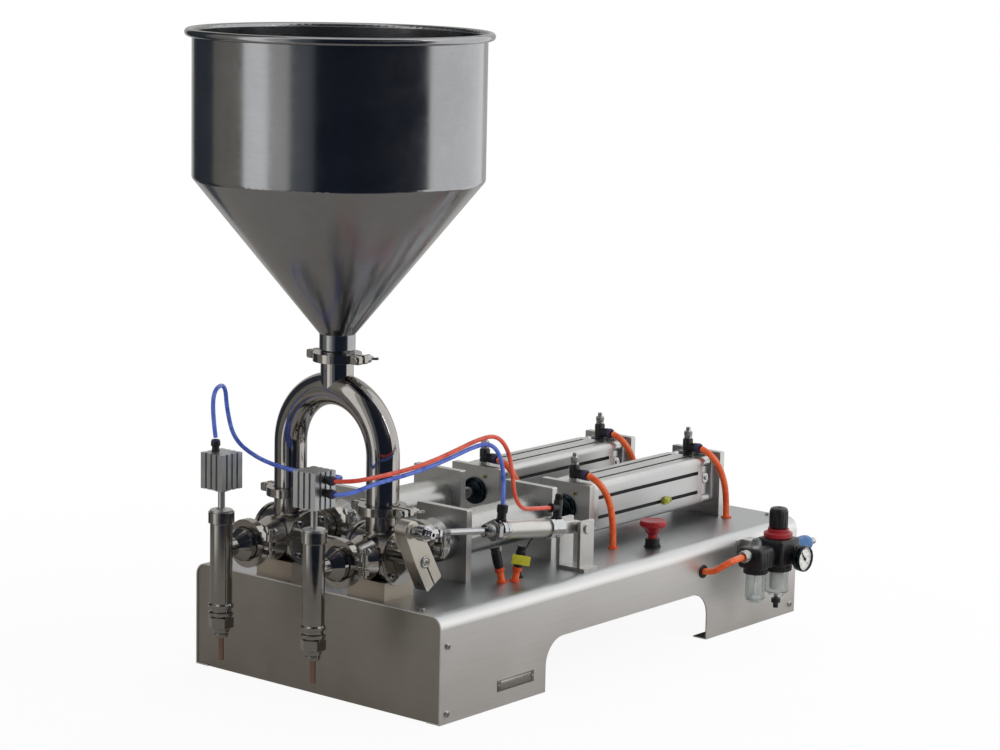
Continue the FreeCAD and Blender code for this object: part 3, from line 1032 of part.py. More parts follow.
node("air_coupling", turned("AirCoupling", "+y", [
    ("0", "0"), ("9", "0"), ("9", "16"), ("12", "18"), ("12", "50"), ("10", "54"), ("6.5", "54"),
    ("6.5", "57"), ("5", "59"),
    ("5", "70"), ("3", "70"), ("3", "40"), ("0", "40")], (FX, coupling_y, "flow_height - 6")))

# Switch beside the right cylinder that sets the stroke.
side_face = "(unit_spacing / 2 + drive_width / 2)"
sensor_y = f"({FRONT} + sensor_setback)"
node("stroke_sensor", fuse("StrokeSensor",
     box("SensorFoot", (f"{side_face} - groove_depth + 0.1", sensor_y,
     f"{AXIS} - groove_offset - groove_width / 2 + 0.1"),
         ("groove_depth + 1", "sensor_length - 4", "groove_width - 0.2")),
     box("SensorBody", (f"{side_face} + 0.2", f"{sensor_y} - 2",
     f"{AXIS} - groove_offset - sensor_height / 2"),
         ("7", "sensor_length", "sensor_height"))))

# Air tubes. A cord runs through its points in straight runs joined by tangent arcs.
def cord(name, radius, points, shift=0, stretch=1):
    points = [Vector(x * stretch + shift, y, z) for x, y, z in points]
    edges, start = [], points[0]
    for before, corner, after in zip(points, points[1:], points[2:]):
        back, ahead = (before - corner), (after - corner)
        half_turn = (math.pi - back.getAngle(ahead)) / 2
        run = 0.45 * min(back.Length, ahead.Length)
        bend = run / math.tan(half_turn)
        print(name, "bend radius", round(bend, 1))
        first, last = corner + back.normalize() * run, corner + ahead.normalize() * run
        middle_way = (back + ahead).normalize()
        centre = corner + middle_way * (bend / math.cos(half_turn))
        edges += [Part.makeLine(start, first), Part.Arc(first, centre - middle_way * bend, last).toShape()]
        start = last
    edges.append(Part.makeLine(start, points[-1]))
    path = Part.Wire(edges)
    section = Part.Wire([Part.makeCircle(radius, points[0], points[1] - points[0])])
    shape = path.makePipeShell([section], True, False)
    piece = doc.addObject("Part::Feature", name)
    piece.Shape = shape
    full = math.pi * radius ** 2 * path.Length
    print(name, "length", round(path.Length), "volume ratio", round(shape.Volume / full, 4))
    return node(name, piece)


drive_tube = [(112.2, 457, 256.5), (130, 459, 251), (146, 467, 222), (148.5, 474, 180), (148.5, 474, 138)]
rear_tube = [(112.2, 745, 256.5), (130, 747, 251), (146, 756, 222), (149.5, 765, 182), (149.5, 765, 138)]
drive = number("air_tube_radius")
pilot = number("pilot_tube_radius")
spacing = number("unit_spacing")
unit_shift = (spacing - 173) / 2
side_shift = number("casing_width / 2") - 231
cord("tube_right_front", drive, drive_tube, unit_shift)
cord("tube_right_rear", drive, rear_tube, unit_shift)
cord("tube_left_front", drive, drive_tube, unit_shift - spacing)
cord("tube_left_rear", drive, rear_tube, unit_shift - spacing)
cord("tube_supply", drive, [(222, 590, 108), (246, 590, 108), (264, 592, 120), (274, 606, 129),
    (275, 628, 130)], side_shift)
cord("tube_nozzle_red", pilot, [
    (123.2, -109, 334), (146, -105, 335.5), (158, -64, 338), (165, -20, 341), (172, 25, 347), (178, 70, 357),
    (184, 112, 368), (189, 145, 371), (192, 168, 350), (193, 178, 314), (192, 184, 280), (188, 206, 257),
    (185.4, 238, 252.6), (185, 273.4, 247.9)], unit_shift)
cord("tube_nozzle_blue", pilot, [
    (123.4, -109, 316), (144, -107, 318), (156, -66, 329), (163, -20, 333.5), (170, 25, 339.5),
    (176, 70, 349),
    (182, 108, 359), (185, 136, 360), (185.6, 158, 344), (185.3, 170, 306), (185, 167.9, 266)], unit_shift)
cord("tube_nozzle_left", pilot, [
    (-98, -109, 362.6), (-101, -112, 395), (-101, -108, 428), (-108, -68, 432), (-110, -62, 392),
    (-100, -58, 352),
    (-70, -56, 330), (-22, -50, 321), (36, -44, 320), (80, -36, 322), (87, -72.2, 326)],
    stretch=spacing / 173)
cord("switch_lead", 1.2, [
    (167, 280, 214), (163, 262, 203), (161, 249, 186), (164, 236, 168), (164, 236, 140)], unit_shift)

# Black fittings: on the nozzle cylinders, over the deck and in the sheet where tubes pass.
fittings = []


def bush(name, axis, at, radius):
    """A flanged ring around a tube where it passes through the sheet."""
    inner = f"({radius} + 0.1)"
    return turned(name, axis, [
        (inner, "0"), (f"{inner} + 3.4", "0"), (f"{inner} + 3.4", "2"), (f"{inner} + 1.4", "2"),
        (f"{inner} + 1.4", "2 + sheet_wall"), (inner, "2 + sheet_wall")], at)


top = f"({DECK} + 2)"
holes = [(x, y, "air_tube_radius") for x, y in (
    ("(62 + unit_spacing / 2)", "474"), ("(63 + unit_spacing / 2)", "765"),
    ("(62 - unit_spacing / 2)", "474"), ("(63 - unit_spacing / 2)", "765"))]
unions = [("(unit_spacing / 2 + 77.5)", "196"), ("(unit_spacing / 2 + 85.5)", "214")]
holes += [(x, y, "air_tube_radius") for x, y in unions] + [("(unit_spacing / 2 + 77.5)", "236", "1.2")]
for index, (x, y, radius) in enumerate(holes):
    fittings.append(bush(f"Bush{index}", "-z", (x, y, top), radius))
fittings.append(turned("SupplyBush", "-x", [
    ("air_tube_radius + 0.6", "0"), ("supply_hole_radius + 2", "0"), ("supply_hole_radius + 2", "2"),
    ("supply_hole_radius", "2"), ("supply_hole_radius", "2 + sheet_wall"),
    ("air_tube_radius + 0.6", "2 + sheet_wall")],
    ("casing_width / 2 + 2", f"{FRONT} + supply_hole_setback", "supply_hole_height")))
nozzle_side = "(unit_spacing / 2 + nozzle_cylinder_width / 2)"
elbow = [("0", "0"), ("5", "0"), ("5", "7"), ("6.5", "7"), ("6.5", "16"), ("0", "16")]
for letter, z in (("A", "334"), ("B", "316")):
    fittings.append(turned("NozzleFitting" + letter, "+x", elbow, (nozzle_side, NOZZLE_Y, z)))
fittings.append(turned("NozzleFittingC", "+y", elbow,
    ("(unit_spacing / 2 + 0.5)", f"{NOZZLE_Y} + nozzle_cylinder_width / 2", "326")))
fittings.append(turned("NozzleFittingD", "+z", [(r, h if h != "16" else "18") for r, h in elbow],
                       ("(-unit_spacing / 2 - 11.5)", NOZZLE_Y,
                       "nozzle_cylinder_base + nozzle_cylinder_height")))
for letter, (x, y) in zip("AB", unions):
    fittings.append(rod("UnionTube" + letter, "+z", "air_tube_radius", (x, y, f"{DECK} - 12"), "34"))
    fittings.append(rod("UnionBody" + letter, "+z", "7", (x, y, f"{DECK} + 22"), "30"))
node("tube_fittings", group("FittingSet", *fittings))

# The deck, and the channel where one is in the way, are bored for the tubes' bushes.
deck_bores = group("DeckBores", *[rod(f"DeckBore{index}", "-z", f"({radius} + 1.5)", (x, y, f"{DECK} + 1"),
    "3 * sheet_wall")
                                  for index, (x, y, radius) in enumerate(holes)])
for name in ("casing", "deck_stiffeners"):
    nodes[name].Label = name + "_unbored"
    node(name, cut(name + "_bored", nodes[name], deck_bores))

doc.recompute()
for piece in doc.Objects:
    if "Invalid" in piece.State or "Error" in piece.State:
        raise RuntimeError(f"{piece.Name} did not build: {piece.State}")
os.makedirs("parts", exist_ok=True)
for name, piece in nodes.items():
    shape = piece.Shape
    if shape.isNull() or not shape.isValid():
        raise RuntimeError(f"{name} is not a valid solid")
    shape.exportStep(f"parts/{name}.step")
    print(name, len(shape.Solids), "solids", round(shape.Volume / 1000, 1), "cm3")
print(len(nodes), "nodes")
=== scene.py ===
# %% [markdown]
# A two-head piston filling machine stands on a table. Product runs from the hopper through a
# forked pipe into two valves, two air cylinders draw it into barrels and push it out through two
# nozzles, and a small cylinder throws the valves' lever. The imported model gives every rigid
# piece its true place, so this lesson adds what a maker's model leaves out: finishes, air
# tubes, threads, knurls, ticks, rivets and light.
# %% Load the frame
import math

import bmesh
import bpy
from mathutils import Matrix, Vector


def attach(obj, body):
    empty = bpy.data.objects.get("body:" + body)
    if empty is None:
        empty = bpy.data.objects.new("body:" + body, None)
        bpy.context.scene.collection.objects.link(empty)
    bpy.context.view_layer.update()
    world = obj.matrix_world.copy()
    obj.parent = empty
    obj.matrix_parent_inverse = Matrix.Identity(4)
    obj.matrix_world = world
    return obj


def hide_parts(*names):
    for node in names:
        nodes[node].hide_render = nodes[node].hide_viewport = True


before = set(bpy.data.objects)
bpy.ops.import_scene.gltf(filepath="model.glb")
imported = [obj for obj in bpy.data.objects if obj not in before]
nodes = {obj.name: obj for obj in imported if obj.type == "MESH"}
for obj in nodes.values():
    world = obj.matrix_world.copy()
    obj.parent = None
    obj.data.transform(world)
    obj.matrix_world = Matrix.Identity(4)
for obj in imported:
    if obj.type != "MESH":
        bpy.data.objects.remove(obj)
bpy.context.scene.view_settings.view_transform = "Standard"
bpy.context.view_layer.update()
MM = 0.001

# %% [markdown]
# The camera stands in front and to the right, a little above the deck, and far off, so that
# upright lines stay upright. Its place and turn come from lining up known edges of the casing,
# the plates and the hopper's rim with the picture. The lens follows from the focal length in
# pixels: sensor width times focal pixels over image width.
# %% Camera
def new_object(name, data):
    """An object in the scene that shows its data."""
    made = bpy.data.objects.new(name, data)
    bpy.context.scene.collection.objects.link(made)
    return made


IMAGE_WIDTH, FOCAL_PIXELS, SENSOR_WIDTH = 1000, 2860.2, 36.0
yaw, pitch, roll = math.radians(39.153), math.radians(9.693), 0.020
ahead = Vector((-math.sin(yaw) * math.cos(pitch), math.cos(yaw) * math.cos(pitch), -math.sin(pitch)))
level = Vector((math.cos(yaw), math.sin(yaw), 0))
above = level.cross(ahead)
right = math.cos(roll) * level + math.sin(roll) * above
up = math.cos(roll) * above - math.sin(roll) * level
camera = new_object("Camera", bpy.data.cameras.new("Camera"))
camera.data.sensor_width = SENSOR_WIDTH
camera.data.lens = FOCAL_PIXELS * SENSOR_WIDTH / IMAGE_WIDTH
camera.data.clip_end = 100
turn = Matrix((right, up, -ahead)).transposed().to_4x4()
camera.matrix_world = Matrix.Translation(Vector((2.6254, -2.8411, 1.1127))) @ turn
bpy.context.scene.camera = camera
print("lens", round(camera.data.lens, 1), "mm")

# %% [markdown]
# A node material is easier to read when each node is one line. This small class adds a node,
# joins whatever is passed to its inputs and hands its outputs back. The same class builds the
# insides of a node group, so an effect that many finishes share is drawn only once.
# %% A short way to write node trees
class Wiring:
    """Adds nodes to one tree. An input is a value, a socket to join or a node's first output."""

    def __init__(self, tree):
        self.tree = tree
        self.family = tree.bl_idname.replace("Tree", "")

    def feed(self, node, inputs):
        """Joins or sets inputs of a node that is there already."""
        for key, value in inputs.items():
            if isinstance(value, bpy.types.Node):
                value = value.outputs[0]
            if isinstance(value, bpy.types.NodeSocket):
                self.tree.links.new(value, node.inputs[key])
            else:
                node.inputs[key].default_value = value
        return node

    def add(self, kind, inputs=None, **settings):
        """A kind without the word Node is of the tree's own family."""
        node = self.tree.nodes.new(kind if "Node" in kind else self.family + kind)
        for key, value in settings.items():
            setattr(node, key, value)
        return self.feed(node, inputs or {})

    def close(self, **results):
        """Joins the results of a group to its output node."""
        self.feed(self.out, results)
        print(self.tree.name, "has", len(self.tree.nodes), "nodes")

    def close_grown(self, instances, finish):
        """Real geometry with a finish: the last two steps of a tree that grows pieces."""
        real = self.add("RealizeInstances", {0: instances})
        self.close(Geometry=self.add("SetMaterial", {"Geometry": real, "Material": finish}))

    def group(self, name, **inputs):
        return self.add("Group", inputs, node_tree=bpy.data.node_groups[name])

    def math(self, operation, first, second=0.0):
        return self.add("ShaderNodeMath", {0: first, 1: second}, operation=operation).outputs[0]

    def times(self, first, second):
        return self.math("MULTIPLY", first, second)

    def plus(self, first, second):
        return self.math("ADD", first, second)

    def minus(self, first, second):
        return self.math("SUBTRACT", first, second)

    def xyz(self, x=0.0, y=0.0, z=0.0):
        return self.add("ShaderNodeCombineXYZ", {0: x, 1: y, 2: z})

    def mix(self, share, first, second):
        """A colour mix: the share goes from first to second."""
        return self.add("Mix", {0: share, 6: first, 7: second}, data_type="RGBA").outputs[2]

    def ramp(self, value, low, high, to_low=0.0, to_high=1.0):
        return self.add("MapRange", {0: value, 1: low, 2: high, 3: to_low, 4: to_high}).outputs[0]


def start_tree(name, kind, inputs, outputs="Geometry:Geometry"):
    """A tree with named sockets, Label or Label:Kind: the wiring to fill it and its inputs."""
    tree = bpy.data.node_groups.new(name, kind + "NodeTree")
    for way, sockets in (("INPUT", inputs), ("OUTPUT", outputs)):
        for socket in sockets.split(", "):
            label, sort = (socket + ":Float").split(":")[:2]
            tree.interface.new_socket(label, in_out=way, socket_type="NodeSocket" + sort)
    wiring = Wiring(tree)
    wiring.out = wiring.add("NodeGroupOutput")
    return wiring, wiring.add("NodeGroupInput").outputs[:-1]


def rgb(code, alpha=1.0):
    """A hex colour as Blender's linear values."""
    parts = [int(code[i:i + 2], 16) / 255 for i in (0, 2, 4)]
    return tuple(((c + 0.055) / 1.055) ** 2.4 if c > 0.04045 else c / 12.92 for c in parts) + (alpha,)


print("mid grey is", [round(c, 3) for c in rgb("808080")])

# %% [markdown]
# Rolled, turned and polished steel all carry a grain: fine lines that run one way. A noise
# that is squeezed along two axes and stretched along the third gives it. The group hands out a
# shade for the colour and a height for the bump, and the stretch is an input, so that one
# group serves a rolled sheet, a spun hopper and a turned rod.
# %% Grain group
wiring, (vector, stretch, scale) = start_tree(
    "Grain", "Shader", "Vector:Vector, Stretch:Vector, Scale", "Shade, Height")
drawn = wiring.add("VectorMath", {0: vector, 1: stretch}, operation="MULTIPLY")
lines = wiring.add("TexNoise", {"Vector": drawn, "Scale": scale, "Detail": 4.0, "Roughness": 0.62})
wiring.close(Shade=wiring.ramp(lines.outputs[0], 0.3, 0.7), Height=lines)

# %% [markdown]
# Handled metal is never evenly clean. Large soft patches change its gloss a little, and small
# ones sit inside them as wiping marks. The mask only changes roughness and shade, since a
# smudge has no thickness.
# %% Smudge group
wiring, (vector, scale) = start_tree("Smudges", "Shader", "Vector:Vector, Scale", "Mask")
broad = wiring.add("TexNoise", {"Vector": vector, "Scale": scale, "Detail": 3.0, "Distortion": 0.6})
finer = wiring.times(scale, 5.0)
small = wiring.add("TexNoise", {"Vector": vector, "Scale": finer, "Detail": 2.0, "Distortion": 1.5})
both = wiring.plus(wiring.times(broad, 0.7), wiring.times(small, 0.3))
wiring.close(Mask=wiring.ramp(both, 0.38, 0.62))

# %% [markdown]
# No machined edge is perfectly sharp. The Bevel node rounds the shading of an edge without
# touching its mesh, and where that rounded direction differs from the true one, an edge is
# near. The group gives both: the soft direction for the bump, and the difference as a mask of
# edges that the finishes paint lighter: partly rubbed wear, partly painted highlight.
# %% Edge group
wiring, (radius,) = start_tree("SoftEdge", "Shader", "Radius", "Normal:Vector, Edge")
bevel = wiring.add("Bevel", {"Radius": radius}, samples=4)
true_way = wiring.add("NewGeometry").outputs["Normal"]
agree = wiring.add("VectorMath", {0: bevel, 1: true_way}, operation="DOT_PRODUCT")
wiring.close(Normal=bevel, Edge=wiring.ramp(agree.outputs["Value"], 0.99, 0.85))

# %% [markdown]
# Every finish on this machine is one of two families. Metal has grain, smudges and bright
# edges; moulded plastic has a fine pebble and an even colour. One function for each family
# keeps their numbers side by side, so that two finishes are compared at a glance.
# %% Finish functions
FINE_RELIEF, METAL_EDGE = 0.00015, 0.0006


def start_material(name, marks_scale):
    """A material, its wiring and shader, the place on the object and the smudges there."""
    material = bpy.data.materials.new(name)
    material.use_nodes = True
    wiring = Wiring(material.node_tree)
    place = wiring.add("TexCoord").outputs["Object"]
    marks = wiring.group("Smudges", Vector=place, Scale=marks_scale).outputs["Mask"]
    return material, wiring, material.node_tree.nodes["Principled BSDF"], place, marks


def start_surface(name, marks_scale, grain_scale, stretch, depth, distance, edge_radius):
    """The same with grain and soft edges, which its bump joins: shade and edge come last."""
    material, wiring, shader, place, marks = start_material(name, marks_scale)
    grain = wiring.group("Grain", Vector=place, Stretch=stretch, Scale=grain_scale).outputs
    soft = wiring.group("SoftEdge", Radius=edge_radius).outputs
    relief = {"Strength": depth, "Distance": distance, "Height": grain["Height"], "Normal": soft["Normal"]}
    wiring.feed(shader, {"Normal": wiring.add("Bump", relief)})
    return material, wiring, shader, marks, grain["Shade"], soft["Edge"]


def metal(name, dark, light, roughness, stretch, scale, depth, smudge):
    material, wiring, shader, marks, shade, edge = start_surface(name, 9.0, scale, stretch, depth,
        FINE_RELIEF, METAL_EDGE)
    tone = wiring.plus(wiring.times(shade, 0.35), wiring.times(marks, 0.5))
    colour = wiring.mix(tone, rgb(dark), rgb(light))
    # Edges are painted lighter: partly rubbed wear, partly painted highlight.
    colour = wiring.mix(wiring.times(edge, 0.35), colour, rgb("e8e8e6"))
    gloss = wiring.plus(wiring.times(marks, smudge), roughness - smudge / 2)
    wiring.feed(shader, {"Base Color": colour, "Roughness": gloss, "Metallic": 1.0})
    return material


def plastic(name, dark, light, roughness):
    material, wiring, shader, marks, shade, edge = start_surface(name, 30.0, 900.0, (1, 1, 1), 0.12,
        0.0003, 0.0005)
    colour = wiring.mix(marks, rgb(dark), rgb(light))
    # Edges are painted lighter: partly rubbed wear, partly painted highlight.
    colour = wiring.mix(wiring.times(edge, 0.25), colour, rgb(light))
    gloss = wiring.plus(wiring.times(marks, 0.12), roughness - 0.06)
    wiring.feed(shader, {"Base Color": colour, "Roughness": gloss})
    return material


print("finish functions ready")

# %% [markdown]
# The steels differ mostly in gloss and in the way their grain runs. The hopper was spun, so
# its lines go round; the deck was rolled, so they run its length; a rod was ground and looks
# almost like a mirror. Stretch values above one squeeze the noise along that axis.
# %% Steel finishes
ROUND_Z, ALONG_Y, ALONG_X = (0.05, 0.05, 1), (1, 0.03, 1), (0.03, 1, 1)
spun_steel = metal("SpunSteel", "9c9da0", "a9aaac", 0.17, ROUND_Z, 500, 0.05, 0.06)
pipe_steel = metal("MirrorSteel", "a3a09d", "b4b1ae", 0.08, (1, 1, 1), 160, 0.02, 0.05)
barrel_steel = metal("BarrelSteel", "b2b2b1", "bcbcba", 0.26, (1, 8, 1), 60, 0.004, 0.05)
cast_steel = metal("PolishedCasting", "a5a19c", "bcb8b3", 0.13, (1, 1, 1), 120, 0.10, 0.12)
# The end panels' steel is painted darker and warmer than the casing's sides: painted shade for the dim room
# and floor that they mirror.
end_sheet_painted_shade = metal("EndSheetPaintedShade", "9d9a93", "a7a49d", 0.40, ALONG_X, 300, 0.03, 0.10)
plate_steel = metal("PlateSteel", "c2c2c0", "d0d0ce", 0.34, (1, 1, 0.05), 400, 0.06, 0.10)
block_steel = metal("BlockSteel", "a89e90", "bcb2a4", 0.38, (0.05, 1, 1), 300, 0.06, 0.10)
screw_steel = metal("ScrewSteel", "a6a6a4", "c4c4c2", 0.22, (1, 1, 1), 500, 0.04, 0.10)
rod_chrome = metal("RodChrome", "c0c1c4", "d0d1d4", 0.07, (1, 6, 1), 200, 0.01, 0.04)
lever_steel = metal("LeverSteel", "cfcac0", "dedad1", 0.34, (1, 1, 0.1), 260, 0.05, 0.10)
anodised = metal("AnodisedTube", "bfc0c0", "cdcecd", 0.36, (1, 0.02, 1), 500, 0.06, 0.06)
anodised_grey = metal("AnodisedGrey", "b4b6b8", "c4c6c7", 0.36, (1, 1, 0.02), 500, 0.06, 0.06)
die_cast = metal("DieCast", "c6c8c9", "dcdddd", 0.30, (1, 1, 1), 90, 0.5, 0.16)
gland_dark = metal("GlandDark", "1f292e", "323d42", 0.10, (1, 1, 1), 200, 0.02, 0.06)
nozzle_steel = metal("NozzleSteel", "93918e", "a8a5a1", 0.12, (1, 1, 6), 90, 0.02, 0.08)
tip_copper = metal("TipCopper", "8d7268", "a58a7f", 0.14, (1, 1, 6), 90, 0.02, 0.08)
mini_white = metal("SatinTube", "c9c8c4", "d8d7d3", 0.38, (1, 0.02, 1), 500, 0.05, 0.06)
brass = metal("Brass", "b08a2e", "d6b04c", 0.22, (1, 1, 1), 300, 0.03, 0.08)
plate_field = metal("PlateField", "5a5854", "6b6964", 0.36, (1, 0.04, 1), 500, 0.05, 0.08)
plate_blank = metal("PlateBlank", "85837f", "969490", 0.30, (1, 0.04, 1), 500, 0.05, 0.08)
print(len(bpy.data.materials), "materials so far")

# %% [markdown]
# The casing is one bent sheet. Its deck is a little glossier than its sides, since it was polished
# along its length, and its colour is painted darker than theirs: painted shade for the dark things
# that it mirrors. One material does both: the surface's own up direction tells deck from side, so
# the change follows the bend.
# %% Casing finish
def casing_finish(name):
    material, wiring, shader, marks, shade, edge = start_surface(name, 5.0, 300.0, ALONG_Y, 0.03,
        FINE_RELIEF, METAL_EDGE)
    facing = wiring.add("TexCoord").outputs["Normal"]
    up_share = wiring.ramp(wiring.add("SeparateXYZ", {0: facing}).outputs[2], 0.35, 0.95)
    # Two colours of one sheet: the deck's darker one is painted shade, the sides' pale one is the lit copy.
    side = wiring.mix(shade, rgb("e2e1e0"), rgb("e8e7e6"))
    deck = wiring.mix(shade, rgb("b0b2b4"), rgb("b5b7b9"))
    colour = wiring.mix(up_share, side, deck)
    # Edges and the bend are painted lighter: partly rubbed wear, partly painted highlight.
    colour = wiring.mix(wiring.times(edge, 0.4), colour, rgb("e0e0de"))
    gloss = wiring.plus(wiring.ramp(up_share, 0, 1, 0.40, 0.34), wiring.times(marks, 0.06))
    wiring.feed(shader, {"Base Color": colour, "Roughness": gloss, "Metallic": 1.0})
    return material


casing_sheet = casing_finish("CasingSheet")
print(casing_sheet.name)

# %% [markdown]
# Plastics and rubber: black moulded fittings, the red stop button and pressure ring, white
# silicone gaskets, a blue coupling sleeve and a yellow-green switch.
# %% Plastic finishes
black_plastic = plastic("BlackPlastic", "101012", "1c1c20", 0.34)
dark_blue = plastic("ReleaseCollar", "251d3d", "352a55", 0.35)
red_plastic = plastic("RedPlastic", "8c0d19", "a11522", 0.38)
seal_white = plastic("SiliconeWhite", "d9d8d4", "eeeeea", 0.5)
blue_plastic = plastic("BlueSleeve", "2f62a0", "4c83bd", 0.38)
switch_green = plastic("SwitchGreen", "9ea53a", "bcc250", 0.45)
orange_plastic = plastic("OrangeCollar", "c4441c", "dc5a2c", 0.4)
# One black serves the dial's printed marks and figures, and is painted shade inside screw recesses.
print_black_and_recess_shade = plastic("PrintBlackAndRecessShade", "060607", "0e0e10", 0.5)
# Dark grey for the faces inside the tube's slots: painted shade, not a colour of the aluminium.
slot_painted_shade = plastic("SlotPaintedShade", "2a2b2d", "38393b", 0.6)
bowl_pale = plastic("BowlPale", "cfd2d0", "e2e4e2", 0.4)
yellow_tag = plastic("YellowTag", "b5b01e", "d2cd34", 0.45)
dial_white = plastic("DialWhite", "e6e6e2", "f3f3f0", 0.4)
print(len(bpy.data.materials), "materials so far")

# %% [markdown]
# The bowls of the filter and the lubricator are clear polycarbonate. They are thin, so an index
# of 1.25, lower than the plastic's own, bends light as little as two thin walls do.
# %% Clear bowl
def clear_finish(name):
    material, wiring, shader, place, marks = start_material(name, 40.0)
    wiring.feed(shader, {"Base Color": wiring.mix(marks, rgb("e6ecec"), rgb("f4f6f6")),
        "Roughness": wiring.ramp(marks, 0, 1, 0.04, 0.12), "Transmission Weight": 0.92, "IOR": 1.25})
    return material


clear_bowl = clear_finish("ClearBowl")
print(clear_bowl.name)

# %% [markdown]
# Polyurethane air tube is bright and slightly see-through, with a waxy gloss. A little
# subsurface light and a soft coat give that look. The small shade changes along its length
# are where it was coiled and wiped.
# %% Tube finish
def tube_finish(name, dark, light):
    material, wiring, shader, place, marks = start_material(name, 45.0)
    grain = wiring.group("Grain", Vector=place, Stretch=(1, 1, 1), Scale=220.0).outputs["Height"]
    wiring.feed(shader, {"Base Color": wiring.mix(marks, rgb(dark), rgb(light)),
        "Roughness": wiring.ramp(marks, 0, 1, 0.24, 0.38),
        "Normal": wiring.add("Bump", {"Strength": 0.05, "Distance": 0.0004, "Height": grain}),
        "Subsurface Weight": 0.15, "Subsurface Radius": (0.004, 0.002, 0.001), "Coat Weight": 0.25})
    return material


orange_tube = tube_finish("OrangeTube", "d8501c", "ee6c30")
blue_tube = tube_finish("BlueTube", "3550b4", "5f7fdc")
red_tube = tube_finish("RedTube", "c43a28", "e2583c")
lead_black = tube_finish("LeadBlack", "0e0e10", "1b1b1e")
print(len(bpy.data.materials), "materials in all")

# %% [markdown]
# The frame's own meshes stay where a rigid shape is right, and each gets the finish of its
# real piece. A table of finish and names is easy to check against the photograph.
# %% Dress the frame
def dress(material, *names):
    for name in names:
        mesh = nodes[name].data
        mesh.materials.clear()
        mesh.materials.append(material)


dress(casing_sheet, "casing")
dress(end_sheet_painted_shade, "end_panels")
dress(plate_steel, "deck_stiffeners", "barrel_plates", "centre_plates", "cylinder_plates", "end_plates",
    "nozzle_yokes", "reversing_bracket")
dress(screw_steel, "screws", "clamp_fasteners", "lever_pin", "valve_shaft")
dress(spun_steel, "hopper")
dress(pipe_steel, "feed_pipe")
dress(barrel_steel, "barrels", "piston_left", "piston_right")
dress(nozzle_steel, "nozzle_bodies")
dress(tip_copper, "nozzle_tips")
dress(cast_steel, "clamps", "valve_bodies", "valve_covers", "rotor_left", "rotor_right")
dress(block_steel, "support_blocks")
dress(rod_chrome, "drive_rod_left", "drive_rod_right", "plunger_left", "plunger_right", "reversing_rod")
dress(lever_steel, "lever")
dress(anodised, "cylinder_tubes", "reversing_cylinder")
dress(anodised_grey, "nozzle_cylinders")
dress(die_cast, "cylinder_heads")
dress(gland_dark, "rod_glands")
dress(black_plastic, "speed_controllers", "stop_collar", "filter_body", "regulator_knob", "tube_fittings",
    "gauge", "gauge_needle", "drain_valve")
dress(red_plastic, "stop_button", "regulator_ring")
dress(seal_white, "seals")
dress(clear_bowl, "filter_bowls")
dress(blue_plastic, "air_coupling")
dress(switch_green, "stroke_sensor")
print("dressed", len(nodes), "nodes")

# %% [markdown]
# The places below are those of the frame, in millimetres. The two filling units stand at the
# same distance left and right of the middle, and most pieces come in pairs on them.
# %% Shared places
UNIT_SPACING = 173
UNITS = {"left": -UNIT_SPACING / 2, "right": UNIT_SPACING / 2}
AXIS_Z, DECK_Z, VALVE_Y, NOZZLE_Y = 208, 150, 28, -109
GLAND_Y, HEAD_FRONT, TUBE_FRONT, TUBE_REAR, HEAD_REAR = 435, 446, 468, 722, 768
DRIVE_WIDTH, CASING_HALF, PLATE_SCREW_REACH = 75, 231, 27.6
PLATES_Y = (159.5, 351.5, 440.5, 773.5)
PIN_Y, PIN_Z = 0.5, 255.6
PIVOT_X, PIVOT_Y, PIVOT_Z = 185, 335, 211
print("units at", UNITS)

# %% [markdown]
# An air tube is a fixed length of stiff hose: it leaves its fitting straight, bends as wide as
# it can and ends in the next fitting. A NURBS curve that the route's points pull on is that
# line, because it never turns sharply. The round section comes from the curve's bevel.
# %% Air tubes
def air_tube(name, node, points, radius, material, body="machine"):
    curve = bpy.data.curves.new(name, "CURVE")
    curve.dimensions = "3D"
    spline = curve.splines.new("NURBS")
    spline.points.add(len(points) - 1)
    for point, place in zip(spline.points, points):
        point.co = (*(Vector(place) * MM), 1)
    spline.order_u = 3
    spline.use_endpoint_u = True
    spline.resolution_u = 12
    curve.bevel_depth = radius * MM
    curve.bevel_resolution = 6
    curve.use_fill_caps = True
    curve.materials.append(material)
    tube = new_object(name, curve)
    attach(tube, body)
    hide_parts(node)
    Vector(points[0]) * MM
    return tube


drive_route = [(112.2, 457, 256.5), (130, 459, 251), (146, 467, 222), (148.5, 474, 180), (148.5, 474, 138)]
rear_route = [(112.2, 745, 256.5), (130, 747, 251), (146, 756, 222), (149.5, 765, 182), (149.5, 765, 138)]
DRIVE, PILOT, LEAD = 5, 3, 1.2
for end, route in (("front", drive_route), ("rear", rear_route)):
    air_tube(f"Tube_right_{end}", f"tube_right_{end}", route, DRIVE, orange_tube)
    shifted = [(x - UNIT_SPACING, y, z) for x, y, z in route]
    air_tube(f"Tube_left_{end}", f"tube_left_{end}", shifted, DRIVE, orange_tube)

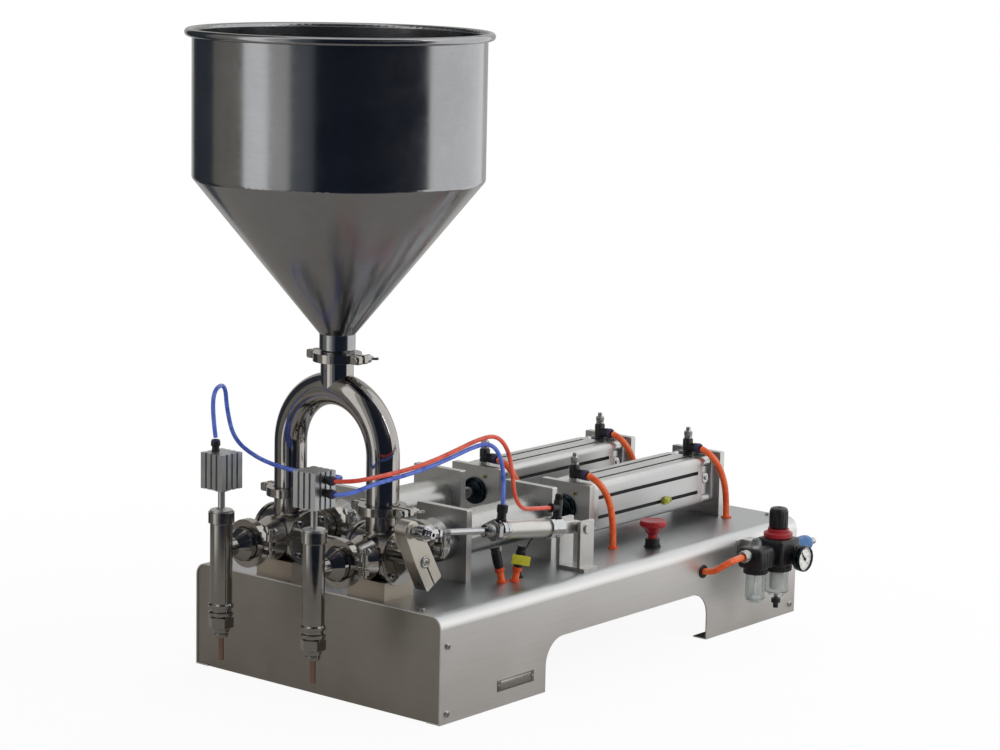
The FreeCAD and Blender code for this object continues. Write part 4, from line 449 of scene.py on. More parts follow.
# %% [markdown]
# The other lines are made by the same rule. Two run from the right nozzle's cylinder to the
# small reversing cylinder, and one from the left nozzle's cylinder to the right one's. A short
# one feeds the air preparation, and a thin lead goes from the small cylinder's switch into the
# deck. Their points follow the picture.
# %% Supply, nozzle and switch lines
air_tube("Tube_supply", "tube_supply", [(222, 590, 108), (246, 590, 108), (264, 592, 120), (274, 606, 129),
    (275, 628, 130)], DRIVE, orange_tube)
air_tube("Tube_nozzle_red", "tube_nozzle_red", [(123.2, -109, 334), (146, -105, 335.5), (158, -64, 338),
    (165, -20, 341), (172, 25, 347), (178, 70, 357), (184, 112, 368), (189, 145, 371), (192, 168, 350),
    (193, 178, 314), (192, 184, 280), (188, 206, 257), (185.4, 238, 252.6), (185, 273.4, 247.9)], PILOT,
    red_tube)
air_tube("Tube_nozzle_blue", "tube_nozzle_blue", [(123.4, -109, 316), (144, -107, 318), (156, -66, 329),
    (163, -20, 333.5), (170, 25, 339.5), (176, 70, 349), (182, 108, 359), (185, 136, 360),
    (185.6, 158, 344), (185.3, 170, 306), (185, 167.9, 266)], PILOT, blue_tube)
air_tube("Tube_nozzle_left", "tube_nozzle_left", [(-98, -109, 362.6), (-101, -112, 395), (-103, -108, 428),
    (-115, -74, 432), (-117, -68, 392), (-107, -64, 352), (-70, -56, 330), (-22, -50, 321), (36, -44, 320),
    (80, -36, 322), (87, -72.2, 326)], PILOT, blue_tube)
air_tube("Switch_lead", "switch_lead", [(167, 280, 214), (163, 262, 203), (161, 249, 186), (164, 236, 168),
    (164, 236, 140)], LEAD, lead_black)

# %% [markdown]
# A CAD node gives one colour and one plain form. Where the real piece has several finishes, or
# beads and steps that the solid leaves out, this class gathers turned, square and drawn forms
# in millimetres into one mesh, each with its own finish. A turned form runs from its foot to its
# top as (radius, height) corners, so that its faces look outward.
# %% Making shapes
QUARTER = math.pi / 2
TURNS = {"+z": Matrix.Identity(4), "-z": Matrix.Rotation(math.pi, 4, "X"),
    "+x": Matrix.Rotation(QUARTER, 4, "Y"), "-x": Matrix.Rotation(-QUARTER, 4, "Y"),
    "+y": Matrix.Rotation(-QUARTER, 4, "X"), "-y": Matrix.Rotation(QUARTER, 4, "X")}


class Shape:
    """Forms in millimetres with a finish each. The frame moves all that is added after it."""

    def __init__(self, frame_matrix=None):
        self.mesh = bmesh.new()
        self.finishes = []
        self.frame = frame_matrix or Matrix.Identity(4)

    def slot_of(self, finish):
        if finish not in self.finishes:
            self.finishes.append(finish)
        return self.finishes.index(finish)

    def place(self, verts, at, axis):
        move = self.frame @ Matrix.Translation(Vector(at)) @ TURNS[axis]
        bmesh.ops.transform(self.mesh, matrix=move, verts=verts)

    def keep(self, finish, verts, faces, at, axis):
        self.place(verts, at, axis)
        for face in faces:
            face.material_index = self.slot_of(finish)

    def turned(self, finish, profile, at=(0, 0, 0), axis="+z", steps=40, closed=False):
        rings = []
        for radius, height in profile:
            count = steps if radius > 1e-6 else 1
            angles = [2 * math.pi * k / steps for k in range(count)]
            corners = [(radius * math.cos(a), radius * math.sin(a), height) for a in angles]
            rings.append([self.mesh.verts.new(corner) for corner in corners])
        pairs = list(zip(rings, rings[1:])) + ([(rings[-1], rings[0])] if closed else [])
        faces = []
        for low, high in pairs:
            for k in range(steps):
                n = (k + 1) % steps
                around = [low[k % len(low)], low[n % len(low)], high[n % len(high)], high[k % len(high)]]
                corners = list(dict.fromkeys(around))
                if len(corners) > 2:
                    faces.append(self.mesh.faces.new(corners))
        self.keep(finish, [v for ring in rings for v in ring], faces, at, axis)

    def block(self, finish, low, high, bevel=0.6, segments=2):
        """A box between two corners with rounded edges. Keys of a dict keep their order."""
        middle = (Vector(low) + Vector(high)) / 2
        extent = Vector(high) - Vector(low)
        made = bmesh.ops.create_cube(self.mesh, size=1, matrix=Matrix.Diagonal((*extent, 1)))
        edges = list(dict.fromkeys(edge for vert in made["verts"] for edge in vert.link_edges))
        cut = bmesh.ops.bevel(self.mesh, geom=edges, offset=bevel, segments=segments, affect="EDGES",
            profile=0.5)
        verts = list(dict.fromkeys(vert for face in cut["faces"] for vert in face.verts))
        faces = list(dict.fromkeys(face for vert in verts for face in vert.link_faces))
        self.keep(finish, verts, faces, middle, "+z")

    def prism(self, finish, corners, height, at, axis="+z"):
        """A flat outline of (x, y) corners, anticlockwise, drawn up to a height."""
        low = [self.mesh.verts.new((x, y, 0)) for x, y in corners]
        high = [self.mesh.verts.new((x, y, height)) for x, y in corners]
        faces = [self.mesh.faces.new(low[::-1]), self.mesh.faces.new(high)]
        for k in range(len(corners)):
            n = (k + 1) % len(corners)
            faces.append(self.mesh.faces.new((low[k], low[n], high[n], high[k])))
        self.keep(finish, low + high, faces, at, axis)

    def absorb(self, mesh, at=(0, 0, 0), axis="+z"):
        """Adds a finished mesh in millimetres, with the materials that it has."""
        before_verts, before_faces = len(self.mesh.verts), len(self.mesh.faces)
        self.mesh.from_mesh(mesh)
        self.mesh.verts.ensure_lookup_table()
        self.mesh.faces.ensure_lookup_table()
        verts = self.mesh.verts[before_verts:]
        for face in self.mesh.faces[before_faces:]:
            face.material_index = self.slot_of(mesh.materials[face.material_index])
        self.place(verts, at, axis)

    def ribs(self, finish, count, radius, width, depth, height, at, axis="+z"):
        """A ring of ribs from the RibRing tree; the place is its middle."""
        self.absorb(grow("RibRing", count=count, radius=radius, width=width, depth=depth, height=height,
            finish=finish), at, axis)

    def screws(self, finish, dark, points, radius, height, recess, sides):
        """Screw heads from the ScrewHeads tree; points are (place, way) pairs."""
        self.absorb(grow("ScrewHeads", points, radius=radius, height=height, recess=recess, sides=sides,
            finish=finish, dark=dark))

    def done(self, name, body, *replaced, slot=None, angle=35):
        """Makes the object in metres, rides it on its body and hides what it stands for."""
        bmesh.ops.scale(self.mesh, vec=(MM, MM, MM), verts=self.mesh.verts)
        mesh = bpy.data.meshes.new(name)
        self.mesh.to_mesh(mesh)
        self.mesh.free()
        for finish in self.finishes:
            mesh.materials.append(finish)
        mesh.shade_smooth()
        mesh.set_sharp_from_angle(angle=math.radians(angle))
        piece = new_object(name, mesh)
        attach(piece, body)
        if replaced:
            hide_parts(*replaced)
        print(name, len(mesh.polygons), "faces")
        return piece


def drum(radius, low, high):
    """The profile of a plain cylinder."""
    return [(0, low), (radius, low), (radius, high), (0, high)]


def hexagon(across):
    """The six corners of a nut of a width across its flats."""
    point = across / math.sqrt(3)
    angles = [math.radians(a) for a in range(30, 390, 60)]
    return [(point * math.cos(a), point * math.sin(a)) for a in angles]


print("shapes ready")

# %% [markdown]
# What repeats by a rule is grown by Geometry Nodes: the same tree serves a knurled knob with
# thirty fine ribs and a skirt with 26 coarse ones. The tree is run once with its numbers
# set, its result is kept as a plain mesh, and the helper object goes away. A tree's sockets
# are named as in its first line, and each ends in real geometry with its finish.
# %% Running a Geometry Nodes tree
def grow(name, points=None, **values):
    """Runs a tree and returns its plain mesh. Points are (place, way) pairs."""
    tree = bpy.data.node_groups[name]
    seed = bpy.data.meshes.new(name + "Seed")
    if points:
        seed.from_pydata([Vector(place) for place, way in points], [], [])
        ways = seed.attributes.new("way", "FLOAT_VECTOR", "POINT")
        for index, (place, way) in enumerate(points):
            ways.data[index].vector = way
    holder = new_object(name + "Holder", seed)
    modifier = holder.modifiers.new("Grow", "NODES")
    modifier.node_group = tree
    for item in tree.interface.items_tree:
        key = item.name.lower().replace(" ", "_")
        if item.in_out == "INPUT" and key in values:
            number = item.socket_type == "NodeSocketFloat"
            modifier[item.identifier] = float(values[key]) if number else values[key]
    grown = holder.evaluated_get(bpy.context.evaluated_depsgraph_get())
    mesh = bpy.data.meshes.new_from_object(grown)
    bpy.data.objects.remove(holder)
    print(name, len(mesh.polygons), "faces")
    return mesh


print("growth ready")

# %% [markdown]
# Ribs, knurls and grip teeth are all one rule: a small block, so many times round a circle.
# %% Rib ring tree
wiring, (count, radius, width, depth, height, finish) = start_tree("RibRing", "Geometry",
    "Count:Int, Radius, Width, Depth, Height, Finish:Material")
circle = wiring.add("MeshCircle", {"Vertices": count, "Radius": radius})
extent = wiring.xyz(x=depth, y=width, z=height)
rib = wiring.add("MeshCube", {"Size": extent})
step = wiring.math("DIVIDE", 2 * math.pi, count)
angle = wiring.times(wiring.add("InputIndex").outputs[0], step)
turn = wiring.xyz(z=angle)
ribs = wiring.add("InstanceOnPoints", {"Points": circle, "Instance": rib, "Rotation": turn})
wiring.close_grown(ribs, finish)

# %% [markdown]
# A screw head is a turned button with a recess cut into it. The seed mesh is only points, one
# for each screw, and each point carries the way that its head faces, so that one run makes
# every screw of a kind. The recess has sides: six for a socket key, and its walls and floor
# are painted black as shade.
# %% Screw head tree
wiring, (seed, radius, height, recess, sides, finish, dark) = start_tree("ScrewHeads", "Geometry",
    "Seed:Geometry, Radius, Height, Recess, Sides:Int, Finish:Material, Dark:Material")
half = wiring.times(height, 0.5)
stem = wiring.add("MeshCylinder", {"Vertices": 28, "Radius": radius, "Depth": height})
rise = wiring.xyz(z=half)
stem = wiring.add("Transform", {"Geometry": stem.outputs["Mesh"], "Translation": rise})
crown = wiring.add("MeshCone", {"Vertices": 28, "Radius Top": wiring.times(radius, 0.8),
    "Radius Bottom": radius, "Depth": wiring.times(height, 0.25)})
lift = wiring.xyz(z=height)
crown = wiring.add("Transform", {"Geometry": crown.outputs["Mesh"], "Translation": lift})
button = wiring.add("MeshBoolean", {"Mesh 2": stem}, operation="UNION")
wiring.feed(button, {"Mesh 2": crown})
button = wiring.add("SetMaterial", {"Geometry": button, "Material": finish})
key = wiring.add("MeshCylinder", {"Vertices": sides, "Radius": recess, "Depth": height})
high = wiring.xyz(z=wiring.times(height, 1.05))
key = wiring.add("Transform", {"Geometry": key.outputs["Mesh"], "Translation": high})
# The cutter's faces, the walls and floor of each recess, take the dark material: painted shade.
key = wiring.add("SetMaterial", {"Geometry": key, "Material": dark})
head = wiring.add("MeshBoolean", {"Mesh 1": button}, operation="DIFFERENCE")
wiring.feed(head, {"Mesh 2": key})
way = wiring.add("InputNamedAttribute", {"Name": "way"}, data_type="FLOAT_VECTOR")
facing = wiring.add("FunctionNodeAlignRotationToVector", {"Vector": way}, axis="Z")
heads = wiring.add("InstanceOnPoints", {"Points": seed, "Instance": head, "Rotation": facing})
real = wiring.add("RealizeInstances", {0: heads})
wiring.close(Geometry=real)

# %% [markdown]
# The marks of a dial lie on an arc between two angles, and every fifth is longer. The rule is
# all in the index of the mark, so a different gauge needs only different numbers.
# %% Dial mark tree
wiring, (count, radius, first, sweep, length, width, every, finish) = start_tree("DialMarks", "Geometry",
    "Count:Int, Radius, First, Sweep, Length, Width, Every:Int, Finish:Material")
line = wiring.add("MeshLine", {"Count": count, "Offset": (0, 0, 0)})
index = wiring.add("InputIndex").outputs[0]
share = wiring.math("DIVIDE", index, wiring.minus(count, 1.0))
angle = wiring.plus(first, wiring.times(share, sweep))
across = wiring.times(wiring.math("COSINE", angle), radius)
along = wiring.times(wiring.math("SINE", angle), radius)
spot = wiring.xyz(x=across, y=along)
placed = wiring.add("SetPosition", {"Geometry": line, "Position": spot})
major = wiring.math("LESS_THAN", wiring.math("MODULO", index, every), 0.5)
longer = wiring.plus(1.0, wiring.times(major, 0.8))
extent = wiring.xyz(x=length, y=width, z=0.3)
mark = wiring.add("MeshCube", {"Size": extent})
turn = wiring.xyz(z=angle)
stretch = wiring.xyz(x=longer, y=longer, z=1.0)
marks = wiring.add("InstanceOnPoints", {"Points": placed, "Instance": mark, "Rotation": turn,
    "Scale": stretch})
wiring.close_grown(marks, finish)

# %% [markdown]
# A thread is a ridge that climbs by its pitch with each turn. A spiral curve carries a small
# three-sided section, and that is the real form, not a stack of rings.
# %% Thread tree
wiring, (radius, length, pitch, finish) = start_tree("Thread", "Geometry",
    "Radius, Length, Pitch, Finish:Material")
turns = wiring.math("DIVIDE", length, pitch)
spiral = wiring.add("CurveSpiral", {"Resolution": 24, "Rotations": turns, "Start Radius": radius,
    "End Radius": radius, "Height": length})
section = wiring.add("CurvePrimitiveCircle", {"Resolution": 3, "Radius": wiring.times(pitch, 0.5)})
ridge = wiring.add("CurveToMesh", {"Curve": spiral, "Profile Curve": section, "Fill Caps": True})
wiring.close_grown(ridge, finish)

# %% [markdown]
# The tube of a profile cylinder is pushed through a die, so it is one outline all along: a
# square with two undercut slots in each side, into which the stroke switch clips. The slot is
# built once and turned onto the four sides by its index, then cut from the block. The faces
# deep inside the slots get a dark finish of their own: painted shade.
# %% Profile tube tree
wiring, sockets = start_tree("ProfileTube", "Geometry", "Width, Length, Slot Offset, Slot Width, "
    "Mouth Width, Slot Depth, Lip, Corner, Finish:Material, Shade:Material")
width, length, slot_offset, slot_width, mouth_width, slot_depth, lip, corner, finish, shade = sockets
reach = wiring.times(length, 0.5)
start = wiring.xyz(y=wiring.times(reach, -1.0))
end = wiring.xyz(y=reach)
axis_line = wiring.add("CurvePrimitiveLine", {"Start": start, "End": end})
square = wiring.add("CurvePrimitiveQuadrilateral", {"Width": width, "Height": width})
rounded = wiring.add("FilletCurve", {"Curve": square, "Count": 6, "Radius": corner}, mode="POLY")
solid = wiring.add("CurveToMesh", {"Curve": axis_line, "Profile Curve": rounded, "Fill Caps": True})
past = wiring.plus(length, 4.0)
further = wiring.plus(length, 7.0)
mouth_size = wiring.xyz(x=mouth_width, y=further, z=wiring.times(slot_depth, 1.6))
mouth = wiring.add("MeshCube", {"Size": mouth_size})
room = wiring.minus(slot_depth, lip)
slot_size = wiring.xyz(x=slot_width, y=past, z=room)
slot_box = wiring.add("MeshCube", {"Size": slot_size})
sink = wiring.minus(wiring.times(room, -0.5), lip)
low_slot = wiring.add("Transform", {"Geometry": slot_box, "Translation": wiring.xyz(z=sink)})
tee = wiring.add("MeshBoolean", {"Mesh 2": mouth}, operation="UNION", solver="EXACT")
wiring.feed(tee, {"Mesh 2": low_slot})
half = wiring.times(width, 0.5)
at_face = wiring.add("Transform", {"Geometry": tee, "Translation": wiring.xyz(z=half)})
eight = wiring.add("MeshLine", {"Count": 8, "Offset": (0, 0, 0)})
index = wiring.add("InputIndex").outputs[0]
side = wiring.times(wiring.math("FLOOR", wiring.times(index, 0.5)), QUARTER)
hand = wiring.minus(wiring.times(wiring.math("MODULO", index, 2.0), 2.0), 1.0)
shift = wiring.xyz(x=wiring.times(hand, slot_offset))
spot = wiring.add("ShaderNodeVectorRotate", {"Vector": shift, "Angle": side}, rotation_type="Y_AXIS")
placed = wiring.add("SetPosition", {"Geometry": eight, "Position": spot})
turn = wiring.xyz(y=side)
tees = wiring.add("InstanceOnPoints", {"Points": placed, "Instance": at_face, "Rotation": turn})
tees = wiring.add("RealizeInstances", {0: tees})
profile = wiring.add("MeshBoolean", {"Mesh 1": solid}, operation="DIFFERENCE", solver="EXACT")
wiring.feed(profile, {"Mesh 2": tees})
place = wiring.add("ShaderNodeSeparateXYZ", {0: wiring.add("InputPosition").outputs[0]})
level_reach = wiring.math("ABSOLUTE", place.outputs[0])
high_reach = wiring.math("ABSOLUTE", place.outputs[2])
depth_in = wiring.minus(half, wiring.math("MAXIMUM", level_reach, high_reach))
near_slot = wiring.math("LESS_THAN", wiring.math("MINIMUM", level_reach, high_reach),
    wiring.plus(slot_offset, slot_width))
not_end = wiring.math("LESS_THAN", wiring.math("ABSOLUTE", place.outputs[1]), wiring.minus(reach, 0.5))
inside_slot = wiring.times(wiring.math("GREATER_THAN", depth_in, 0.3), wiring.times(near_slot, not_end))
real = wiring.add("RealizeInstances", {0: profile})
plain = wiring.add("SetMaterial", {"Geometry": real, "Material": finish})
# Faces well inside a slot take the dark finish: painted shade.
shaded = wiring.add("SetMaterial", {"Geometry": plain, "Selection": inside_slot, "Material": shade})
wiring.close(Geometry=shaded)

# %% [markdown]
# A nozzle ends in a chamfered hexagon nut that holds a turned hub with a thin tip. The nut is
# steel, and the tip looks like copper in the picture.
# %% Nozzle ends
NUT_LOW, NUT_HIGH, TIP_LOW, NUT_WIDTH = 97, 115, 51, 31
ends = Shape()
for x in UNITS.values():
    ends.prism(nozzle_steel, hexagon(NUT_WIDTH), NUT_HIGH - NUT_LOW - 3.4, (x, NOZZLE_Y, NUT_LOW + 1.7))
    ends.turned(nozzle_steel, [(0, 0), (13.8, 0), (14.4, 0.4), (15.6, 1.8), (0, 1.8)],
        (x, NOZZLE_Y, NUT_LOW), steps=48)
    ends.turned(nozzle_steel, [(0, 16.2), (15.6, 16.2), (14.4, 17.6), (13.8, 18), (0, 18)],
        (x, NOZZLE_Y, NUT_LOW), steps=48)
    ends.turned(nozzle_steel, [(0, 84), (8.6, 84), (9.2, 84.6), (10.6, 88), (10.6, 89), (9.9, 89.6),
        (9.9, 90.4), (12, 93), (12, 97), (0, 97)], (x, NOZZLE_Y, 0), steps=40)
    ends.turned(tip_copper, [(2.6, TIP_LOW), (3.6, TIP_LOW), (4, TIP_LOW + 0.5), (4, 82.6), (4.8, 84.2),
        (2.6, 84.2)], (x, NOZZLE_Y, 0), steps=28, closed=True)
ends.done("Nozzle_ends", "machine", "nozzle_tips", slot="nozzle")

# %% [markdown]
# Two profile cylinders drive the pistons. The tube comes from the profile tree. Its ends are
# closed by cast heads, which have rounded corners, a waist and a socket screw in each corner.
# %% Cylinder tubes
tube_mesh = grow("ProfileTube", width=DRIVE_WIDTH, length=TUBE_REAR - TUBE_FRONT, slot_offset=15.0,
    slot_width=8.6, mouth_width=5.4, slot_depth=6.0, lip=1.6, corner=9.0, finish=anodised, shade=slot_painted_shade)
drives = Shape()
for x in UNITS.values():
    drives.absorb(tube_mesh, (x, (TUBE_FRONT + TUBE_REAR) / 2, AXIS_Z))
drives.done("Drive_tubes", "machine", "cylinder_tubes", slot="extrusion")

# %% [markdown]
# The rear heads are lumpy castings: four corner columns between two flanges, a boss for the
# air fitting and a ring round the cushion screw. Columns and bosses go over the frame's head,
# which keeps its waist.
# %% Head castings
heads = Shape()
head_points = []
for x in UNITS.values():
    for across in (-1, 1):
        for rise in (-1, 1):
            corner = (x + across * 28.5, TUBE_REAR + 10, AXIS_Z + rise * 28.5)
            heads.turned(die_cast, [(0, 0), (7.6, 0), (8.4, 5), (7.2, 13), (8.4, 21), (7.6, 26), (0, 26)],
                corner, "+y", 24)
            heads.prism(screw_steel, hexagon(10), 4, (corner[0], HEAD_REAR - 12, corner[2]), "+y")
            head_points.append(((x + across * 27, HEAD_FRONT, AXIS_Z + rise * 27), (0, -1, 0)))
    for side in (-1, 1):
        boss, way = (x + side * 29, TUBE_REAR + 23, AXIS_Z + 4), "+x" if side > 0 else "-x"
        heads.turned(die_cast, [(0, 0), (9, 0), (9, 4.5), (7.5, 6.5), (0, 6.5)], boss, way, 28)
        heads.turned(screw_steel, [(0, 0), (3.4, 0), (3.4, 8), (2.6, 8.6), (0, 8.6)], boss, way, 20)
heads.done("Head_castings", "machine", slot="casting")

# %% [markdown]
# A rod gland is a polished dome that screws into the plate in front of the cylinder. A dome is
# an arc of the profile, so its corners come from a circle. The small brass screw beside it
# holds the gland from turning.
# %% Rod glands
def arc(radius_at, height_at, radius, first, last, steps=8):
    """Profile corners along an arc, with angles in degrees from the level."""
    angles = [math.radians(first + (last - first) * k / steps) for k in range(steps + 1)]
    return [(radius_at + radius * math.cos(a), height_at + radius * math.sin(a)) for a in angles]


glands = Shape()
for x in UNITS.values():
    curve = [(r, 0.72 * (z - 2) + 2) for r, z in arc(9.6, 2, 11.4, 0, 86)]
    dome = [(9.3, 0), (21, 0), (21, 2), *curve, (9.3, 10)]
    glands.turned(gland_dark, dome, (x, GLAND_Y, AXIS_Z), "-y", 48, closed=True)
glands.done("Rod_glands", "machine", "rod_glands", slot="gland")

# %% [markdown]
# Each head carries a speed controller: a nickel root, a black body with an arm, a violet
# release ring where the orange tube goes in, and a knurled knob with its lock nut on top.
# %% Speed controllers
PORT_Z, NUT_Z = 256.5, 269.5
controllers = Shape()
for x in UNITS.values():
    for y, root in ((457, 245.5), (745, 239.5)):
        controllers.prism(screw_steel, hexagon(14), 4.5, (x, y, root))
        controllers.turned(black_plastic, [(0, 4), (6.5, 4), (8, 5.5), (8, 9), (7.4, 9.6), (7.4, 10.6),
            (8, 11.2), (8, NUT_Z - 1.5 - root), (7, NUT_Z - root), (0, NUT_Z - root)], (x, y, root))
        controllers.turned(black_plastic, [(0, 0), (7, 0), (7, 12), (7.7, 13), (7.7, 17), (6.6, 18),
            (0, 18)], (x, y, PORT_Z), "+x", 32)
        controllers.turned(dark_blue, [(0, 17.6), (7.6, 17.6), (8, 18.4), (8, 22.6), (7.2, 24.2),
            (5.4, 24.6), (5.4, 21)], (x, y, PORT_Z), "+x", 32)
        controllers.turned(screw_steel, [(0, 0), (3.5, 0), (3.5, 1), (6.2, 1), (6.2, 3.6), (3.8, 3.6),
            (3.8, 4.4), (5.9, 4.4), (6.1, 5.2), (6.1, 11.2), (5.6, 12), (4.2, 12.2), (4.2, 13),
            (3.6, 13.4), (3.6, 17.2), (3, 18), (0, 18)], (x, y, NUT_Z), steps=28)
        controllers.ribs(screw_steel, 30, 6.1, 0.6, 0.8, 6.0, (x, y, NUT_Z + 8.2))
controllers.done("Speed_controllers", "machine", "speed_controllers", slot="fitting")

# %% [markdown]
# Screws. The valve covers have socket heads, bright, with their hole painted black as shade;
# the sheet metal has pan heads with a four-sided recess, also painted black as shade. All places
# follow from the sizes that the frame was made with.
# %% Screws
COVER_SCREWS, COVER_FACE = 32 / math.sqrt(2), 37
cover_points = [
    ((x + way * COVER_FACE, VALVE_Y + across * COVER_SCREWS, AXIS_Z + rise * COVER_SCREWS), (way, 0, 0))
    for x in UNITS.values() for way in (-1, 1) for across in (-1, 1) for rise in (-1, 1)]
sheet_points = []
for y in (0, 828):
    for side in (-1, 1):
        sheet_points += [((side * CASING_HALF, y, z), (side, 0, 0)) for z in (14, 108)]
        sheet_points.append(((side * 0.8 * CASING_HALF, y, DECK_Z), (0, 0, 1)))
under_points = [((x + side * PLATE_SCREW_REACH, y, DECK_Z - 4), (0, 0, -1))
    for x in UNITS.values() for side in (-1, 1) for y in PLATES_Y]
gland_points = [((x + 19.6, GLAND_Y, 232), (0, -1, 0)) for x in UNITS.values()]
screws = Shape()
screws.screws(rod_chrome, print_black_and_recess_shade, cover_points, 4.3, 3.0, 2.3, 6)
screws.screws(screw_steel, print_black_and_recess_shade, sheet_points, 4.4, 2.0, 1.5, 4)
screws.screws(screw_steel, print_black_and_recess_shade, under_points, 4.5, 2.6, 2.2, 6)
screws.screws(screw_steel, print_black_and_recess_shade, head_points, 4.6, 3.0, 2.4, 6)
screws.screws(brass, print_black_and_recess_shade, gland_points, 2.8, 1.6, 1.3, 6)
screws.done("Screw_heads", "machine", "screws", slot="screw")

# %% [markdown]
# The lever's upper end is a round boss, and the pin through it carries the rod's eye. A socket
# cap screw closes the pin. A ringed socket screw holds the lever on the end of the valve shaft.
# %% Lever screws
lever_marks = Shape()
lever_marks.turned(screw_steel, [(5.2, 0), (8.2, 0), (8.2, 0.7), (7.6, 1.1), (5.8, 1.1), (5.2, 0.7)],
    (165.6, VALVE_Y, AXIS_Z), "+x", 36, closed=True)
lever_marks.screws(screw_steel, print_black_and_recess_shade, [((165.4, VALVE_Y, AXIS_Z), (1, 0, 0))], 5.0, 1.0, 3.0, 6)
lever_marks.done("Shaft_end_screw", "valve_rotor", slot="lever")
eye = Shape()
eye.screws(rod_chrome, print_black_and_recess_shade, [((196.5, PIN_Y, PIN_Z), (1, 0, 0))], 6.6, 5.0, 3.1, 6)
eye.done("Eye_cap_screw", "reversing_rod", slot="mini")

# %% [markdown]
# The small cylinder that throws the lever lies on a slope between its pivot and the pin, so it
# is built along its own axis and the frame matrix lays it in place: -Y runs to the front.
# %% Reversing cylinder
SLOPE = math.atan2(PIN_Z - PIVOT_Z, PIVOT_Y - PIN_Y)
laid = Matrix.Translation((PIVOT_X, PIVOT_Y, PIVOT_Z)) @ Matrix.Rotation(-SLOPE, 4, "X")
mini = Shape(laid)
mini.turned(mini_white, drum(13.5, 52, 168), axis="-y", steps=48)
mini.turned(rod_chrome, [(0, 38), (11.5, 38), (14.5, 41), (14.5, 53.5), (13.6, 55.5), (13.4, 56.5),
    (0, 56.5)], axis="-y", steps=48)
mini.turned(rod_chrome, [(0, 163.5), (13.6, 163.5), (14.5, 166), (14.5, 170), (13.9, 170.6), (13.9, 172),
    (14.5, 172.6), (14.5, 179), (11.5, 182), (9, 182), (9, 207), (8, 208), (4.7, 208), (4.7, 206),
    (0, 206)], axis="-y", steps=48)
mini.absorb(grow("Thread", radius=8.9, length=16.0, pitch=1.4, finish=screw_steel), (0, -191, 0), "-y")
mini.prism(screw_steel, hexagon(27), 8, (0, -182.5, 0), "-y")
mini.turned(screw_steel, [(9, 190.5), (13, 190.5), (13, 191.6), (9, 191.6)], axis="-y", steps=40, closed=True)
mini.block(mini_white, (-7, -40, -9), (7, 3, 9), 1.2)
mini.turned(mini_white, [(5.1, -7), (9, -7), (9, 7), (5.1, 7)], axis="+x", steps=36, closed=True)
mini.turned(black_plastic, [(0, 14), (7.5, 14), (7.5, 15.5), (6.5, 16), (6.5, 23.5), (7.4, 24.5),
    (7.4, 34.5), (6.6, 35.5), (4.9, 35.5), (4.9, 24.5), (0, 24.5)], (0, -173, 0), "+z", 32)
mini.ribs(black_plastic, 22, 7.3, 0.9, 0.8, 8.5, (0, -173, 29.5))
mini.turned(black_plastic, [(0, 14), (7.5, 14), (7.5, 15.5), (6.5, 16), (6.5, 38), (5.6, 39.5), (5, 39.5),
    (5, 47), (4.2, 48.5), (0, 48.5)], (0, -47, 0), "+z", 32)
mini.turned(black_plastic, [(0, 0), (6, 0), (6, 14), (6.6, 14.6), (6.6, 17.2), (5.6, 18), (0, 18)],
    (0, -47, 28.5), "-y", 28)
mini.ribs(black_plastic, 20, 5.1, 0.8, 0.8, 6.5, (0, -47, 43))
mini.turned(rod_chrome, [(13.4, 62), (16, 62), (16, 71), (13.4, 71)], axis="-y", steps=40, closed=True)
mini.block(black_plastic, (-22.5, -84, -5), (-14.3, -58, 4), 1.4)
mini.block(black_plastic, (-19, -70, 3), (-15, -61, 8.5), 0.8)
mini.done("Reversing_cylinder", "reversing_barrel", "reversing_cylinder", slot="mini")
ram = Shape(laid)
ram.absorb(grow("Thread", radius=4.4, length=26.0, pitch=1.0, finish=screw_steel), (0, -284, 0), "-y")
ram.done("Rod_thread", "reversing_rod", slot="mini")

# %% [markdown]
# The stop button is a wide flat disc on a cone, so that a palm finds it. Its rim is rolled and
# the top dips a little.
# %% Stop button
BUTTON = (187, 520, 0)
button = Shape()
button.turned(red_plastic, [(0, 155), (7, 155), (7, 170), (10, 172), (12, 177), (17.6, 181.4), (19.6, 183),
    (20, 184.6), (20, 188.6), (19.4, 190.2), (18, 191), (16.6, 190.7), (13, 190.1), (0, 189.9)], BUTTON,
    steps=56)
button.done("Stop_button", "stop_button", "stop_button", slot="button")
collar = Shape()
collar.turned(black_plastic, [(7.2, 150), (13, 150), (13, 152), (11, 152.4), (11, 156), (10.4, 156.5),
    (10.4, 158), (11, 158.5), (11, 163.2), (10.2, 164), (7.2, 164)], BUTTON, steps=40, closed=True)
collar.ribs(black_plastic, 26, 11.0, 1.2, 0.9, 3.6, (BUTTON[0], BUTTON[1], 154.2))
collar.done("Stop_collar", "machine", "stop_collar", slot="fitting")

# %% [markdown]
# Fittings where tubes end: ringed black bodies on the nozzle cylinders, orange collars where
# the deck is passed, and two black unions that lean towards each other with a yellow tag.
# %% Tube fittings
fittings = Shape()
ELBOW = [(0, 0), (5.6, 0), (5.6, 2), (5, 2.4), (5, 6.6), (6.2, 7.2), (6.5, 8), (6.5, 13), (6, 13.6)]
RELEASE = [(0, 13), (5.6, 13), (5.9, 13.8), (5.9, 15.2), (5.2, 16), (3.4, 16), (3.4, 14)]
NOZZLE_SIDE = UNITS["right"] + 20
ports = [((NOZZLE_SIDE, NOZZLE_Y, 334), "+x"), ((NOZZLE_SIDE, NOZZLE_Y, 316), "+x"),
    ((87, NOZZLE_Y + 20, 326), "+y"), ((-98, NOZZLE_Y, 344), "+z")]
for at, axis in ports:
    fittings.turned(black_plastic, ELBOW + [(0, 13.6)], at, axis, 32)
    fittings.turned(dark_blue, RELEASE, at, axis, 28)
